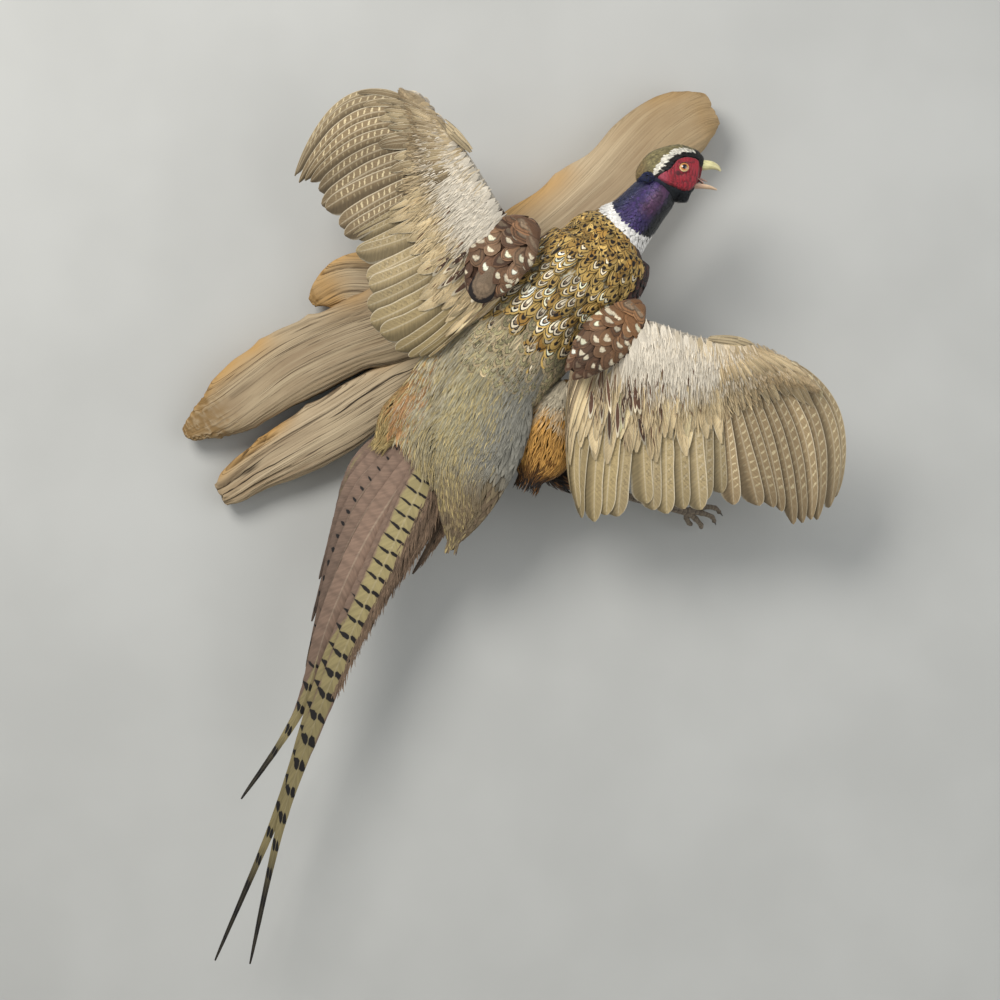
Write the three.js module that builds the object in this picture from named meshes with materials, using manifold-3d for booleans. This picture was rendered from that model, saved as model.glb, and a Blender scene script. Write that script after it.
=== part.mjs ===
// A ring-necked cock pheasant, mounted in flight on a piece of driftwood that hangs on a wall.
// Millimetres, +Z up. The wall is the plane y = 0 and the bird faces away from it, towards -Y,
// so that its back is what a visitor sees. The origin is the middle of the hanger's back face.
// Widths and outlines reach to the tips of the feathers.
import * as THREE from 'three';
import Module from 'manifold-3d';
import { mergeVertices } from 'three/addons/utils/BufferGeometryUtils.js';

const wasm = await Module();
wasm.setup();

// ---- driving dimensions ----
const GAP = 0.3; // clearance between pieces that touch
const WALL_SIDE = -1.8; // the wood's sawn back face
const HANGER = { length: 64, height: 9, thickness: 1.5, teeth: 8, tooth: 2.2, above: 4 };
const VANE = 1; // thickness of a flight feather
const HEAD_MIDDLE = -143; // y of the head's middle plane
const EYE = { radius: 6.5, at: [167.2, 52.1], out: 11.4 }; // out: from the middle plane
const WATTLE_PROUD = 1.6; // the red skin stands this far out of the cheek
const TAIL_TOP = -105; // y of the uppermost tail feather
const TAIL_LAYER = 1.45; // from one tail feather to the next below it

const BACK = new THREE.Vector3(0, -1, 0); // from the wall to the visitor
const CROWN = new THREE.Vector3(-0.1, 0, 1).normalize(); // from the bill's line to the crown

// ---- finishes ----
const finish = (color, roughness, metalness = 0) =>
  new THREE.MeshStandardMaterial({ color, roughness, metalness });
const FINISH = {
  wood: finish('#9b8463', 0.85),
  steel: finish('#8d9094', 0.4, 1),
  head: finish('#23283a', 0.6),
  bill: finish('#d8d2b0', 0.45),
  mouth: finish('#b98d84', 0.5),
  eye: finish('#d9a05a', 0.1),
  wattle: finish('#8f1420', 0.6),
  neck: finish('#2b2a4d', 0.5),
  mantle: finish('#a8823f', 0.7),
  scapular: finish('#6d4a35', 0.7),
  rump: finish('#8a8b72', 0.8),
  flank: finish('#c08a3c', 0.8),
  thigh: finish('#3c2c22', 0.85),
  covert: finish('#b8ab93', 0.75),
  flight: finish('#9c8663', 0.7),
  tail: finish('#8d7c55', 0.7),
  leg: finish('#6f6253', 0.7),
  claw: finish('#2f2823', 0.5),
};

// ---- making shapes ----

// A smooth line (Catmull-Rom) through rows of numbers, with t from 0 at the first to 1 at the last.
function smooth(rows, t) {
  const spans = rows.length - 1;
  const i = Math.min(spans - 1, Math.floor(t * spans));
  const f = t * spans - i;
  const row = (k) => rows[Math.min(spans, Math.max(0, k))];
  const [a, b, c, d] = [row(i - 1), row(i), row(i + 1), row(i + 2)];
  return b.map((_, k) => 0.5 * (2 * b[k] + (c[k] - a[k]) * f
    + (2 * a[k] - 5 * b[k] + 4 * c[k] - d[k]) * f * f
    + (3 * b[k] - a[k] - 3 * c[k] + d[k]) * f * f * f));
}

// A closed mesh from points and triangles, turned so that its faces point out.
function closed(points, faces) {
  let volume = 0;
  const normal = new THREE.Vector3();
  for (const [a, b, c] of faces) {
    volume += points[a].dot(normal.crossVectors(points[b], points[c]));
  }
  const turned = volume < 0 ? faces.map(([a, b, c]) => [a, c, b]) : faces;
  const geometry = new THREE.BufferGeometry().setFromPoints(points);
  geometry.setIndex(turned.flat());
  return geometry;
}

// Rings of equally many points, joined one to the next, with both ends closed.
function skinned(rings) {
  const sides = rings[0].length;
  const points = rings.flat();
  const faces = [];
  for (let i = 0; i + 1 < rings.length; i += 1) {
    for (let j = 0; j < sides; j += 1) {
      const [a, b] = [i * sides + j, i * sides + (j + 1) % sides];
      faces.push([a, b, b + sides], [a, b + sides, a + sides]);
    }
  }
  const middle = (ring) => ring.reduce((sum, p) => sum.add(p), new THREE.Vector3()).divideScalar(sides);
  const last = (rings.length - 1) * sides;
  points.push(middle(rings[0]), middle(rings[rings.length - 1]));
  for (let j = 0; j < sides; j += 1) {
    const next = (j + 1) % sides;
    faces.push([points.length - 2, next, j], [points.length - 1, last + j, last + next]);
  }
  return closed(points, faces);
}

// A body swept along a smooth line. A station is [x, y, z, half width, half depth on the
// upper side, half depth on the lower side]; `up` is the way to the upper side, `power`
// squares the section off, `rough` is a factor on the radius at an angle and a place along,
// and `grow` makes the whole body larger all round.
function loft(stations, { steps = 12, sides = 14, up = BACK, power = 2, rough, grow = 0 } = {}) {
  const rings = [];
  for (let i = 0; i <= steps; i += 1) {
    const t = i / steps;
    const [x, y, z, half, upper, lower] = smooth(stations, t);
    const ahead = new THREE.Vector3(...smooth(stations, Math.min(1, t + 0.01)).slice(0, 3));
    const behind = new THREE.Vector3(...smooth(stations, Math.max(0, t - 0.01)).slice(0, 3));
    const along = ahead.sub(behind).normalize();
    const side = new THREE.Vector3().crossVectors(along, up).normalize();
    const over = new THREE.Vector3().crossVectors(side, along);
    const centre = new THREE.Vector3(x, y, z);
    if (i === 0) centre.addScaledVector(along, -grow);
    if (i === steps) centre.addScaledVector(along, grow);
    rings.push(Array.from({ length: sides }, (_, j) => {
      const angle = 2 * Math.PI * j / sides;
      const [c, s] = [Math.cos(angle), Math.sin(angle)];
      const factor = rough ? rough(angle, t) : 1;
      const across = Math.sign(c) * Math.abs(c) ** (2 / power) * (half * factor + grow);
      const deep = Math.sign(s) * Math.abs(s) ** (2 / power) * ((s > 0 ? upper : lower) * factor + grow);
      return centre.clone().addScaledVector(side, across).addScaledVector(over, deep);
    }));
  }
  return skinned(rings);
}

// A thin closed slab from a grid of [x, y, z, thickness], thick along y. `grow` moves its faces
// and its rim out.
function slab(grid, grow = 0) {
  const [rows, columns] = [grid.length, grid[0].length];
  const upper = [];
  const lower = [];
  grid.forEach((row, i) => row.forEach(([x, y, z, thick], j) => {
    const place = new THREE.Vector3(x, y, z);
    const inner = grid[Math.min(rows - 2, Math.max(1, i))][Math.min(columns - 2, Math.max(1, j))];
    const out = new THREE.Vector3(x - inner[0], 0, z - inner[2]);
    if (out.length() > 0) place.addScaledVector(out.normalize(), grow);
    upper.push(place.clone().addScaledVector(BACK, thick / 2 + grow));
    lower.push(place.clone().addScaledVector(BACK, -thick / 2 - grow));
  }));
  const points = [...upper, ...lower];
  const under = upper.length;
  const faces = [];
  for (let i = 0; i + 1 < rows; i += 1) {
    for (let j = 0; j + 1 < columns; j += 1) {
      const a = i * columns + j;
      const [b, c, d] = [a + 1, a + columns + 1, a + columns];
      faces.push([a, b, c], [a, c, d], [under + a, under + c, under + b], [under + a, under + d, under + c]);
    }
  }
  const rim = [];
  for (let j = 0; j + 1 < columns; j += 1) rim.push(j);
  for (let i = 0; i + 1 < rows; i += 1) rim.push(i * columns + columns - 1);
  for (let j = columns - 1; j > 0; j -= 1) rim.push((rows - 1) * columns + j);
  for (let i = rows - 1; i > 0; i -= 1) rim.push(i * columns);
  rim.forEach((a, k) => {
    const b = rim[(k + 1) % rim.length];
    faces.push([a, under + b, b], [a, under + a, under + b]);
  });
  return closed(points, faces);
}

// A straight-sided block: an outline of [x, z] corners carried along y from `front` to `rear`.
function prism(outline, front, rear) {
  const shape = new THREE.Shape(outline.map(([x, z]) => new THREE.Vector2(x, z)));
  const geometry = new THREE.ExtrudeGeometry(shape, { depth: rear - front, bevelEnabled: false });
  return geometry.rotateX(Math.PI / 2).translate(0, rear, 0);
}

// ---- joining and cutting ----

function toSolid(geometry) {
  const bare = geometry.clone();
  bare.deleteAttribute('normal');
  bare.deleteAttribute('uv');
  const merged = mergeVertices(bare, 1e-4);
  return new wasm.Manifold(new wasm.Mesh({
    numProp: 3,
    vertProperties: new Float32Array(merged.attributes.position.array),
    triVerts: new Uint32Array(merged.index.array),
  }));
}

// The geometry of a solid, or of its largest piece where a cut has left crumbs.
function toGeometry(solid) {
  const pieces = solid.decompose().sort((a, b) => b.volume() - a.volume());
  const mesh = pieces[0].getMesh();
  const geometry = new THREE.BufferGeometry();
  geometry.setAttribute('position', new THREE.BufferAttribute(mesh.vertProperties, 3));
  geometry.setIndex(new THREE.BufferAttribute(mesh.triVerts, 1));
  return geometry;
}

function cut(geometry, ...cutters) {
  return toGeometry(cutters.reduce((solid, cutter) => solid.subtract(toSolid(cutter)), toSolid(geometry)));
}

function join(...geometries) {
  return toGeometry(geometries.map(toSolid).reduce((sum, solid) => sum.add(solid)));
}

function common(a, b) {
  return toGeometry(toSolid(a).intersect(toSolid(b)));
}

const group = new THREE.Group();

function add(name, geometry, material) {
  const mesh = new THREE.Mesh(geometry, material);
  mesh.name = name;
  group.add(mesh);
}

// ---- trunk, neck and rump ----

const TRUNK = [
  [110, -116, 1, 25, 26, 24],
  [100, -116, -11, 40, 38, 36],
  [86, -114, -34, 53, 47, 48],
  [42, -112, -75, 54, 49, 50],
  [3, -111, -124, 50, 43, 46],
  [-24, -107, -168, 42, 32, 34],
  [-44, -103, -206, 31, 20, 21],
  [-54, -100, -234, 17, 9, 9],
];
const trunk = (grow) => loft(TRUNK, { steps: 14, sides: 16, power: 2.15, grow });

const NECK = [
  [95, -116, -19, 24, 24, 24],
  [108, -119, -4, 30, 28, 28],
  [120, -124, 7, 25.5, 25, 25],
  [131, -132, 19, 22.5, 22, 22],
  [142, -139, 31, 20.5, 19, 19],
  [150, -143, 41, 16, 13, 13],
];
const neck = (grow) => loft(NECK, { steps: 7, sides: 14, grow });

const TAIL_COVERTS = [
  [-2, -134, -112, 22, 14, 8],
  [-15, -128, -161, 43, 15, 8],
  [-25, -122, -207, 43, 12, 7],
  [-33, -116, -249, 35, 7, 5],
  [-38, -112, -280, 26, 4, 3],
  [-42, -109, -304, 7, 1.2, 1.2],
];
const tailCoverts = (grow) => loft(TAIL_COVERTS, { steps: 8, sides: 12, grow });

const FLANK_RIGHT = [
  [61, -118, -144, 8, 10, 8],
  [52, -114, -171, 23, 13, 12],
  [40, -110, -199, 31, 16, 14],
  [31, -106, -222, 27, 12, 11],
  [24, -104, -239, 12, 5, 5],
];
const flankRight = (grow) => loft(FLANK_RIGHT, { steps: 7, sides: 10, grow });

const FLANK_LEFT = [
  [-45, -108, -100, 8, 8, 8],
  [-65, -104, -126, 15, 11, 10],
  [-83, -101, -157, 18, 9, 9],
  [-104, -98, -182, 19, 6, 6],
  [-120, -96, -204, 8, 2, 2],
];
const flankLeft = (grow) => loft(FLANK_LEFT, { steps: 6, sides: 10, grow });

// ---- head ----

const HEAD = [
  [127.6, -142, 38.3, 4, 4, 4],
  [132.7, -143, 44.3, 10, 13, 14],
  [142.2, -143, 49, 14.2, 20, 23],
  [153.5, -143, 51.4, 15.8, 22.8, 28.5],
  [164.8, -143, 52.3, 15.6, 23.8, 28.8],
  [174.2, -143, 52.3, 13.6, 20.8, 28.5],
  [180.8, -143, 51.4, 10.2, 16.8, 18.5],
  [185.1, -143, 50.4, 6.4, 11, 12],
];
const head = (grow) => loft(HEAD, { steps: 10, sides: 14, up: CROWN, power: 2.15, grow });

const GAPE = [[176.1, 48.1], [184.6, 53.7], [195, 58], [195, 33.5], [184.6, 40.1]];

const UPPER_BILL = [
  [178, -143, 57, 6, 5.6, 4],
  [186.5, -143, 57, 5.2, 4.9, 3.8],
  [194.1, -143, 56.5, 3.7, 4.2, 3],
  [199.7, -143, 54.4, 2, 2.6, 2],
  [203.3, -143, 51.4, 0.7, 0.7, 0.7],
];
const upperBill = (grow) => loft(UPPER_BILL, { steps: 5, sides: 8, up: CROWN, grow });

const LOWER_BILL = [
  [177.1, -143, 38.2, 5.2, 2.2, 3.4],
  [185.6, -143, 37.6, 4.4, 2, 3],
  [193.1, -143, 36.3, 3, 1.7, 2.3],
  [199.7, -143, 33.5, 0.8, 0.7, 0.7],
];
const lowerBill = (grow) => loft(LOWER_BILL, { steps: 4, sides: 8, up: CROWN, grow });

const TONGUE = [
  [174.2, -143, 46.2, 3, 1, 1],
  [183.7, -143, 43.8, 2.6, 1, 1],
  [190.3, -143, 41.5, 0.9, 0.5, 0.5],
];

const WATTLE = [
  [142.9, 42.3], [155, 49.8], [161.6, 58.2], [171.9, 60.6],
  [181.7, 56.4], [179.8, 35.8], [172.8, 28.8], [162.5, 31.6],
];

const EAR_TUFT = [
  [140.5, -152, 43.3, 3, 2.5, 2.5],
  [135.5, -156, 43.6, 5.6, 3.6, 3.6],
  [130.7, -158, 42.8, 5.4, 3, 3],
  [125.5, -159, 41.2, 1.4, 1, 1],
];

// The same station on the other side of the head's middle plane.
const mirrored = (stations) => stations.map(([x, y, z, ...sizes]) => [x, 2 * HEAD_MIDDLE - y, z, ...sizes]);

function eyeball(side, grow) {
  const ball = new THREE.SphereGeometry(EYE.radius + grow, 10, 7);
  return ball.translate(EYE.at[0], HEAD_MIDDLE + side * EYE.out, EYE.at[1]);
}

function addHead() {
  const mouth = prism(GAPE, HEAD_MIDDLE - 20, HEAD_MIDDLE + 20);
  add('head', cut(head(0), mouth, neck(GAP), eyeball(-1, GAP), eyeball(1, GAP)), FINISH.head);
  add('neck', cut(neck(0), trunk(GAP)), FINISH.neck);
  add('bill_upper', cut(upperBill(0), head(GAP)), FINISH.bill);
  add('bill_lower', cut(lowerBill(0), head(GAP)), FINISH.bill);
  add('tongue', cut(loft(TONGUE, { steps: 3, sides: 6, up: CROWN }), cut(head(GAP), mouth)), FINISH.mouth);
  for (const [name, side] of [['right', -1], ['left', 1]]) {
    add(`eye_${name}`, eyeball(side, 0), FINISH.eye);
    const reach = [HEAD_MIDDLE + side * 3, HEAD_MIDDLE + side * 25].sort((a, b) => a - b);
    const patch = common(head(WATTLE_PROUD), prism(WATTLE, ...reach));
    const round = [head(GAP), eyeball(side, GAP), mouth, neck(GAP), lowerBill(GAP)];
    add(`wattle_${name}`, cut(patch, ...round), FINISH.wattle);
    const tuft = loft(side < 0 ? EAR_TUFT : mirrored(EAR_TUFT), { steps: 4, sides: 6 });
    add(`ear_tuft_${name}`, cut(tuft, head(GAP), neck(GAP)), FINISH.neck);
  }
}

// ---- tail ----

// Each tail feather is a line of places down its shaft, [x, z], with its greatest width and
// its place in the pile, counted down from the top.
const SHAFTS = {
  right_1: { line: [[-51, -190], [-95, -305], [-156, -413], [-208, -552], [-247, -708]], width: 30, layer: 0 },
  left_1: { line: [[-57, -190], [-115, -305], [-172, -413], [-219, -552], [-281, -705]], width: 30, layer: 1 },
  right_2: { line: [[-48, -192], [-82, -278], [-126, -355], [-164, -433], [-191, -502]], width: 29, layer: 2 },
  left_2: { line: [[-63, -192], [-129, -288], [-170, -375], [-200, -464], [-256, -549]], width: 31, layer: 3 },
  right_3: { line: [[-45, -193], [-72, -264], [-103, -327], [-148, -409]], width: 27, layer: 4 },
  left_3: { line: [[-69, -190], [-134, -269], [-171, -346], [-193, -421]], width: 29, layer: 5 },
  right_4: { line: [[-43, -195], [-65, -254], [-86, -305], [-121, -359]], width: 25, layer: 6 },
  left_4: { line: [[-76, -188], [-137, -251], [-167, -313], [-188, -377]], width: 26, layer: 7 },
  right_5: { line: [[-41, -197], [-51, -249], [-65, -290], [-90, -331]], width: 27, layer: 8 },
  left_5: { line: [[-83, -186], [-139, -236], [-163, -284], [-181, -336]], width: 25, layer: 9 },
  right_6: { line: [[-39, -199], [-43, -245], [-48, -280], [-58, -311]], width: 25, layer: 10 },
  left_6: { line: [[-90, -184], [-137, -220], [-158, -261], [-172, -300]], width: 25, layer: 11 },
};
const VANE_ACROSS = [-1, 0, 1];
const SHAFT_RISE = 0.25; // the vane is a very low roof along its shaft
const TAIL_VANE = 0.9;
const TAIL_FALL = 10; // how much nearer the wall the longest feathers end than they start

// A feather's half width at t: full soon after the root, then drawn out to a point.
const vaneHalf = (width, t) => 0.5 * width * Math.min(1, 0.55 + 3 * t) * (1 - 0.985 * t) ** 0.56;

function tailFeather({ line, width, layer }, steps) {
  return slab(Array.from({ length: steps + 1 }, (_, i) => {
    const t = i / steps;
    const [x, z] = smooth(line, t);
    const [ax, az] = smooth(line, Math.min(1, t + 0.01));
    const [bx, bz] = smooth(line, Math.max(0, t - 0.01));
    const along = new THREE.Vector2(ax - bx, az - bz).normalize();
    return VANE_ACROSS.map((e) => {
      const half = vaneHalf(width, t) * e;
      const y = TAIL_TOP + layer * TAIL_LAYER + TAIL_FALL * t * line.length / 5;
      return [x - along.y * half, e === 0 ? y - SHAFT_RISE : y, z + along.x * half, TAIL_VANE];
    });
  }));
}

function addTail() {
  for (const [name, feather] of Object.entries(SHAFTS)) {
    const steps = feather.line.length === 5 ? 8 : 4;
    add(`tail_${name}`, cut(tailFeather(feather, steps), trunk(GAP), tailCoverts(GAP)), FINISH.tail);
  }
}

// ---- wings ----

// A fan of feathers: smooth lines through their roots, bends and tips, inner edge first.
// The arm is the flesh and the coverts over it, from the front edge to the tips of the
// coverts, each station with its greatest thickness.
const WING = {
  left: {
    arm: {
      front: [
        [21, -146, -14, 26], [-2, -160, 20, 24], [-26, -172, 56, 17],
        [-49, -176, 87, 10], [-74, -166, 116, 5], [-97, -160, 127, 2.5],
      ],
      rear: [
        [-26, -146, -75, 26], [-64, -152, -54, 24], [-80, -161, 1, 17],
        [-91, -167, 43, 10], [-96, -169, 80, 5], [-103, -163, 124, 2.5],
      ],
    },
    secondaries: {
      roots: [[8, -150, -56], [-5, -150, -35], [-18, -166, 7], [-37, -176, 45]],
      bends: [[-26, -146, -91], [-48, -140, -95], [-82, -152, -37], [-102, -158, 18]],
      tips: [
        [-56, -138, -108], [-77, -118, -125], [-114, -118, -116],
        [-136, -120, -71], [-148, -120, -22], [-155, -120, -9],
      ],
      count: 15,
      steps: 3,
      from: 0.25,
    },
    primaries: {
      roots: [[-37, -176, 45], [-47, -178, 70], [-55, -176, 91]],
      bends: [[-102, -158, 18], [-126, -164, 97], [-152, -160, 178]],
      tips: [[-155, -120, -10], [-174, -110, 18], [-187, -102, 43], [-200, -98, 47], [-205, -94, 57]],
      count: 10,
      steps: 4,
      from: 0.25,
    },
    scapulars: [
      [29, -158, 1, 10, 6, 6], [11, -165, -15, 26, 9, 8], [-8, -168, -37, 28, 9, 8],
      [-20, -166, -60, 20, 7, 6], [-26, -162, -75, 6, 2, 2],
    ],
    alula: [[-29, -181, 61, 4, 2, 2], [-49, -184, 81, 6, 2, 2], [-69, -176, 104, 2, 1, 1]],
  },
  right: {
    arm: {
      front: [
        [95, -146, -82, 26], [133, -158, -85, 24], [181, -172, -103, 16],
        [229, -174, -109, 10], [275, -166, -132, 5], [298, -158, -156, 2.5],
      ],
      rear: [
        [74, -146, -165, 26], [127, -151, -203, 24], [173, -158, -193, 16],
        [217, -168, -171, 10], [255, -169, -164, 5], [296, -158, -163, 2.5],
      ],
    },
    secondaries: {
      roots: [[66, -150, -120], [97, -150, -120], [144, -168, -121], [194, -176, -120]],
      bends: [[59, -146, -150], [46, -140, -202], [106, -150, -193], [156, -154, -193], [207, -156, -195]],
      tips: [
        [56, -138, -187], [66, -118, -265], [83, -118, -282],
        [129, -120, -277], [176, -120, -274], [215, -120, -264],
      ],
      count: 16,
      steps: 3,
      from: 0.25,
    },
    primaries: {
      roots: [[194, -176, -120], [206, -178, -116], [217, -176, -114]],
      bends: [[207, -156, -195], [271, -164, -168], [348, -160, -136]],
      tips: [[215, -120, -264], [254, -110, -268], [282, -102, -285], [302, -98, -281], [322, -94, -261]],
      count: 10,
      steps: 4,
      from: 0.25,
    },
    scapulars: [
      [128, -158, -74, 8, 5, 5], [112, -165, -91, 20, 8, 8], [92, -168, -110, 24, 9, 8],
      [71, -166, -132, 16, 7, 6], [57, -160, -147, 5, 2, 2],
    ],
    alula: [[184, -179, -109, 4, 2, 2], [215, -181, -113, 6, 2, 2], [244, -174, -122, 2, 1, 1]],
  },
};

const ARM_STEPS = { across: 9, along: 5 };
const ARM_RIM = 0.8; // thickness along the arm's edges
const CAMBER = 7; // how far the arm's middle bows out to the back

function arm({ front, rear }, grow = 0) {
  return slab(Array.from({ length: ARM_STEPS.across + 1 }, (_, i) => {
    const a = smooth(front, i / ARM_STEPS.across);
    const b = smooth(rear, i / ARM_STEPS.across);
    return Array.from({ length: ARM_STEPS.along + 1 }, (__, j) => {
      const t = (j / ARM_STEPS.along) ** 1.4;
      const [x, y, z] = [0, 1, 2].map((k) => a[k] + (b[k] - a[k]) * t);
      const full = Math.sqrt(t) * (1 - t) * 2.6;
      return [x, y - CAMBER * Math.sin(Math.PI * t), z, ARM_RIM + a[3] * full];
    });
  }), grow);
}

const TIP_NOTCH = 0.05; // how much shorter a feather's edges are than its shaft
const SHAFT_HIGH = 0.35; // how far a shaft stands over its feather's edges, each way from the middle
const UNDER_COVERTS = 5; // the bases lie this much nearer the wall, beneath the coverts

// One slab for a row of flight feathers, its free edge scalloped by their tips. Columns run
// along the feathers' edges and shafts by turns. The hidden bases are left out, up to `from`.
function flight({ roots, bends, tips, count, steps, from }, grow = 0) {
  return slab(Array.from({ length: 2 * count + 1 }, (_, n) => {
    const q = n / (2 * count);
    const atShaft = n % 2 === 1;
    const [root, bend, tip] = [smooth(roots, q), smooth(bends, q), smooth(tips, q)];
    const end = atShaft ? 1 : 1 - TIP_NOTCH;
    return Array.from({ length: steps + 1 }, (__, j) => {
      const t = from + (end - from) * j / steps;
      const [x, y, z] = root.map((r, k) => (1 - t) ** 2 * r + 2 * t * (1 - t) * bend[k] + t * t * tip[k]);
      return [x, y + UNDER_COVERTS * (1 - t) + (atShaft ? -SHAFT_HIGH : SHAFT_HIGH), z, VANE];
    });
  }), grow);
}

function addWing(side) {
  const wing = WING[side];
  const named = (part) => `wing_${side}_${part}`;
  const body = [trunk(GAP), arm(wing.arm, GAP), side === 'left' ? flankLeft(GAP) : flankRight(GAP)];
  const outer = flight(wing.primaries, GAP);
  const inner = flight(wing.secondaries, GAP);
  add(named('arm'), cut(arm(wing.arm), trunk(GAP)), FINISH.covert);
  add(named('primaries'), cut(flight(wing.primaries), ...body), FINISH.flight);
  add(named('secondaries'), cut(flight(wing.secondaries), outer, ...body), FINISH.flight);
  const shoulder = loft(wing.scapulars, { steps: 5, sides: 10 });
  add(named('scapulars'), cut(shoulder, inner, ...body), FINISH.scapular);
  add(named('alula'), cut(loft(wing.alula, { steps: 3, sides: 8 }), arm(wing.arm, GAP)), FINISH.covert);
}

// ---- legs ----

// A leg: the feathered thigh, the bare shank down to where the toes part, and four toes,
// the last of them the short hind one. A claw carries on from each toe's end.
const LEG = {
  right: {
    thigh: [
      [32, -88, -177, 18, 18, 18], [49, -85, -218, 25, 19, 19], [77, -78, -239, 17, 13, 13],
      [103, -70, -250, 8, 7, 7], [117, -66, -254, 5, 4.5, 4.5],
    ],
    shank: [[111, -67, -253, 4.2, 4.4, 4.4], [145, -57, -262, 3.4, 3.6, 3.6], [182, -47, -271, 4.4, 4.2, 4.2]],
    toes: [
      [[180, -47, -270], [196, -39, -272], [207, -31, -276], [210, -23, -280]],
      [[180, -47, -270], [190, -39, -278], [196, -31, -284], [197, -23, -286]],
      [[180, -47, -270], [198, -38, -266], [210, -31, -267], [215, -23, -271]],
      [[180, -45, -271], [181, -38, -277], [184, -31, -282], [186, -25, -283]],
    ],
  },
  left: {
    thigh: [
      [-25, -80, -166, 16, 16, 16], [-44, -72, -205, 18, 15, 15], [-58, -68, -232, 11, 9, 9],
      [-66, -66, -247, 6, 6, 6], [-70, -65, -255, 4.6, 4.6, 4.6],
    ],
    shank: [[-68, -66, -251, 4.2, 4.4, 4.4], [-82, -62, -277, 3.4, 3.6, 3.6], [-98, -59, -303, 4.4, 4.2, 4.2]],
    toes: [
      [[-97, -59, -302], [-108, -53, -314], [-119, -50, -324], [-127, -46, -328]],
      [[-97, -59, -302], [-112, -52, -306], [-124, -48, -311], [-132, -43, -312]],
      [[-97, -59, -302], [-102, -51, -316], [-110, -46, -326], [-116, -42, -332]],
      [[-97, -57, -301], [-93, -49, -299], [-91, -43, -301], [-92, -39, -305]],
    ],
  },
};
const TOE = { root: 3.1, tip: 1.9 };
const CLAW = { length: 10, root: 1.7, tip: 0.4, sink: 1.5, droop: 5 };

const toeStations = (line) => line.map((place, i) => {
  const r = TOE.root + (TOE.tip - TOE.root) * i / (line.length - 1);
  return [...place, r, r, r];
});
const toe = (line, grow = 0) => loft(toeStations(line), { steps: 3, sides: 6, grow });

// A claw starts just past the toe's end, runs on in its direction and droops to the wall.
function claw(line) {
  const [before, end] = line.slice(-2).map((place) => new THREE.Vector3(...place));
  const along = end.clone().sub(before).normalize();
  const stations = [-CLAW.sink, 0, CLAW.length / 2, CLAW.length].map((d, i, all) => {
    const f = Math.max(0, d) / CLAW.length;
    const place = end.clone().addScaledVector(along, d).addScaledVector(BACK, -CLAW.droop * f * f);
    const r = CLAW.root + (CLAW.tip - CLAW.root) * f;
    return [...place.toArray(), r, r, r];
  });
  return cut(loft(stations, { steps: 3, sides: 5 }), toe(line, GAP));
}

function addLeg(side) {
  const { thigh, shank, toes } = LEG[side];
  const bare = (grow = 0) => loft(shank, { steps: 2, sides: 8, grow });
  const flank = side === 'right' ? flankRight(GAP) : flankLeft(GAP);
  const drum = loft(thigh, { steps: 6, sides: 8 });
  add(`thigh_${side}`, cut(drum, trunk(GAP), flank, bare(GAP)), FINISH.thigh);
  add(`foot_${side}`, join(bare(), ...toes.map((line) => toe(line))), FINISH.leg);
  toes.forEach((line, n) => add(`claw_${side}_${n + 1}`, claw(line), FINISH.claw));
}

// ---- driftwood ----

const WOOD = {
  plank: [
    [207, -28, 130, 17, 14, 22], [186, -29, 120, 32, 24, 30], [151, -30, 97, 40, 28, 34],
    [103, -31, 46, 47, 31, 36], [50, -32, -2, 54, 35, 36], [-5, -32, -43, 56, 37, 36],
    [-61, -31, -63, 50, 33, 36], [-117, -29, -84, 43, 28, 34], [-160, -27, -99, 38, 26, 32],
    [-206, -25, -120, 39, 23, 30], [-248, -23, -146, 36, 20, 26], [-285, -21, -170, 28, 16, 22],
    [-313, -20, -187, 14, 9, 13], [-323, -20, -191, 5, 4, 5],
  ],
  prong: [
    [-35, -30, -104, 28, 22, 24], [-75, -28, -125, 26, 21, 24], [-113, -26, -146, 25, 19, 22],
    [-166, -24, -180, 31, 17, 20], [-216, -22, -209, 28, 15, 18], [-251, -20, -230, 20, 11, 14],
    [-279, -19, -249, 11, 7, 9], [-291, -19, -255, 4, 4, 4],
  ],
  stub: [
    [-90, -30, -51, 24, 18, 22], [-131, -28, -44, 33, 18, 22], [-160, -26, -43, 28, 15, 20],
    [-182, -24, -52, 16, 10, 14], [-194, -22, -61, 5, 4, 5],
  ],
};

// Weathered wood: long flutes along the grain that wander a little from end to end.
const grain = (seed) => (angle, t) => 1 + 0.05 * Math.sin(3 * angle + 4 * t + seed)
  + 0.035 * Math.sin(5 * angle - 7 * t + 2 * seed) + 0.02 * Math.sin(9 * t + 3 * seed);

function addMount() {
  const plank = loft(WOOD.plank, { steps: 18, sides: 10, power: 2.6, rough: grain(0.5) });
  const prong = loft(WOOD.prong, { steps: 11, sides: 8, power: 2.5, rough: grain(2.1) });
  const stub = loft(WOOD.stub, { steps: 6, sides: 8, power: 2.5, rough: grain(4) });
  const wallSide = new THREE.BoxGeometry(1200, 100, 1200).translate(0, WALL_SIDE + 50, 0);
  const legs = ['right', 'left'].map((side) => loft(LEG[side].thigh, { steps: 6, sides: 8, grow: GAP }));
  const bird = [trunk(GAP), neck(GAP), flankLeft(GAP), flankRight(GAP), ...legs];
  add('driftwood', cut(join(plank, prong, stub), wallSide, ...bird), FINISH.wood);

  const { length, height, thickness, teeth, tooth, above } = HANGER;
  const outline = [[-length / 2, above], [-length / 2, above - height], [-length / 2 + 8, above - height]];
  const pitch = (length - 16) / teeth;
  for (let n = 0; n < teeth; n += 1) {
    const x = -length / 2 + 8 + n * pitch;
    outline.push([x + pitch / 2, above - height + tooth], [x + pitch, above - height]);
  }
  outline.push([length / 2, above - height], [length / 2, above]);
  add('hanger', prism(outline, -thickness, 0), FINISH.steel);
}

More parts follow.
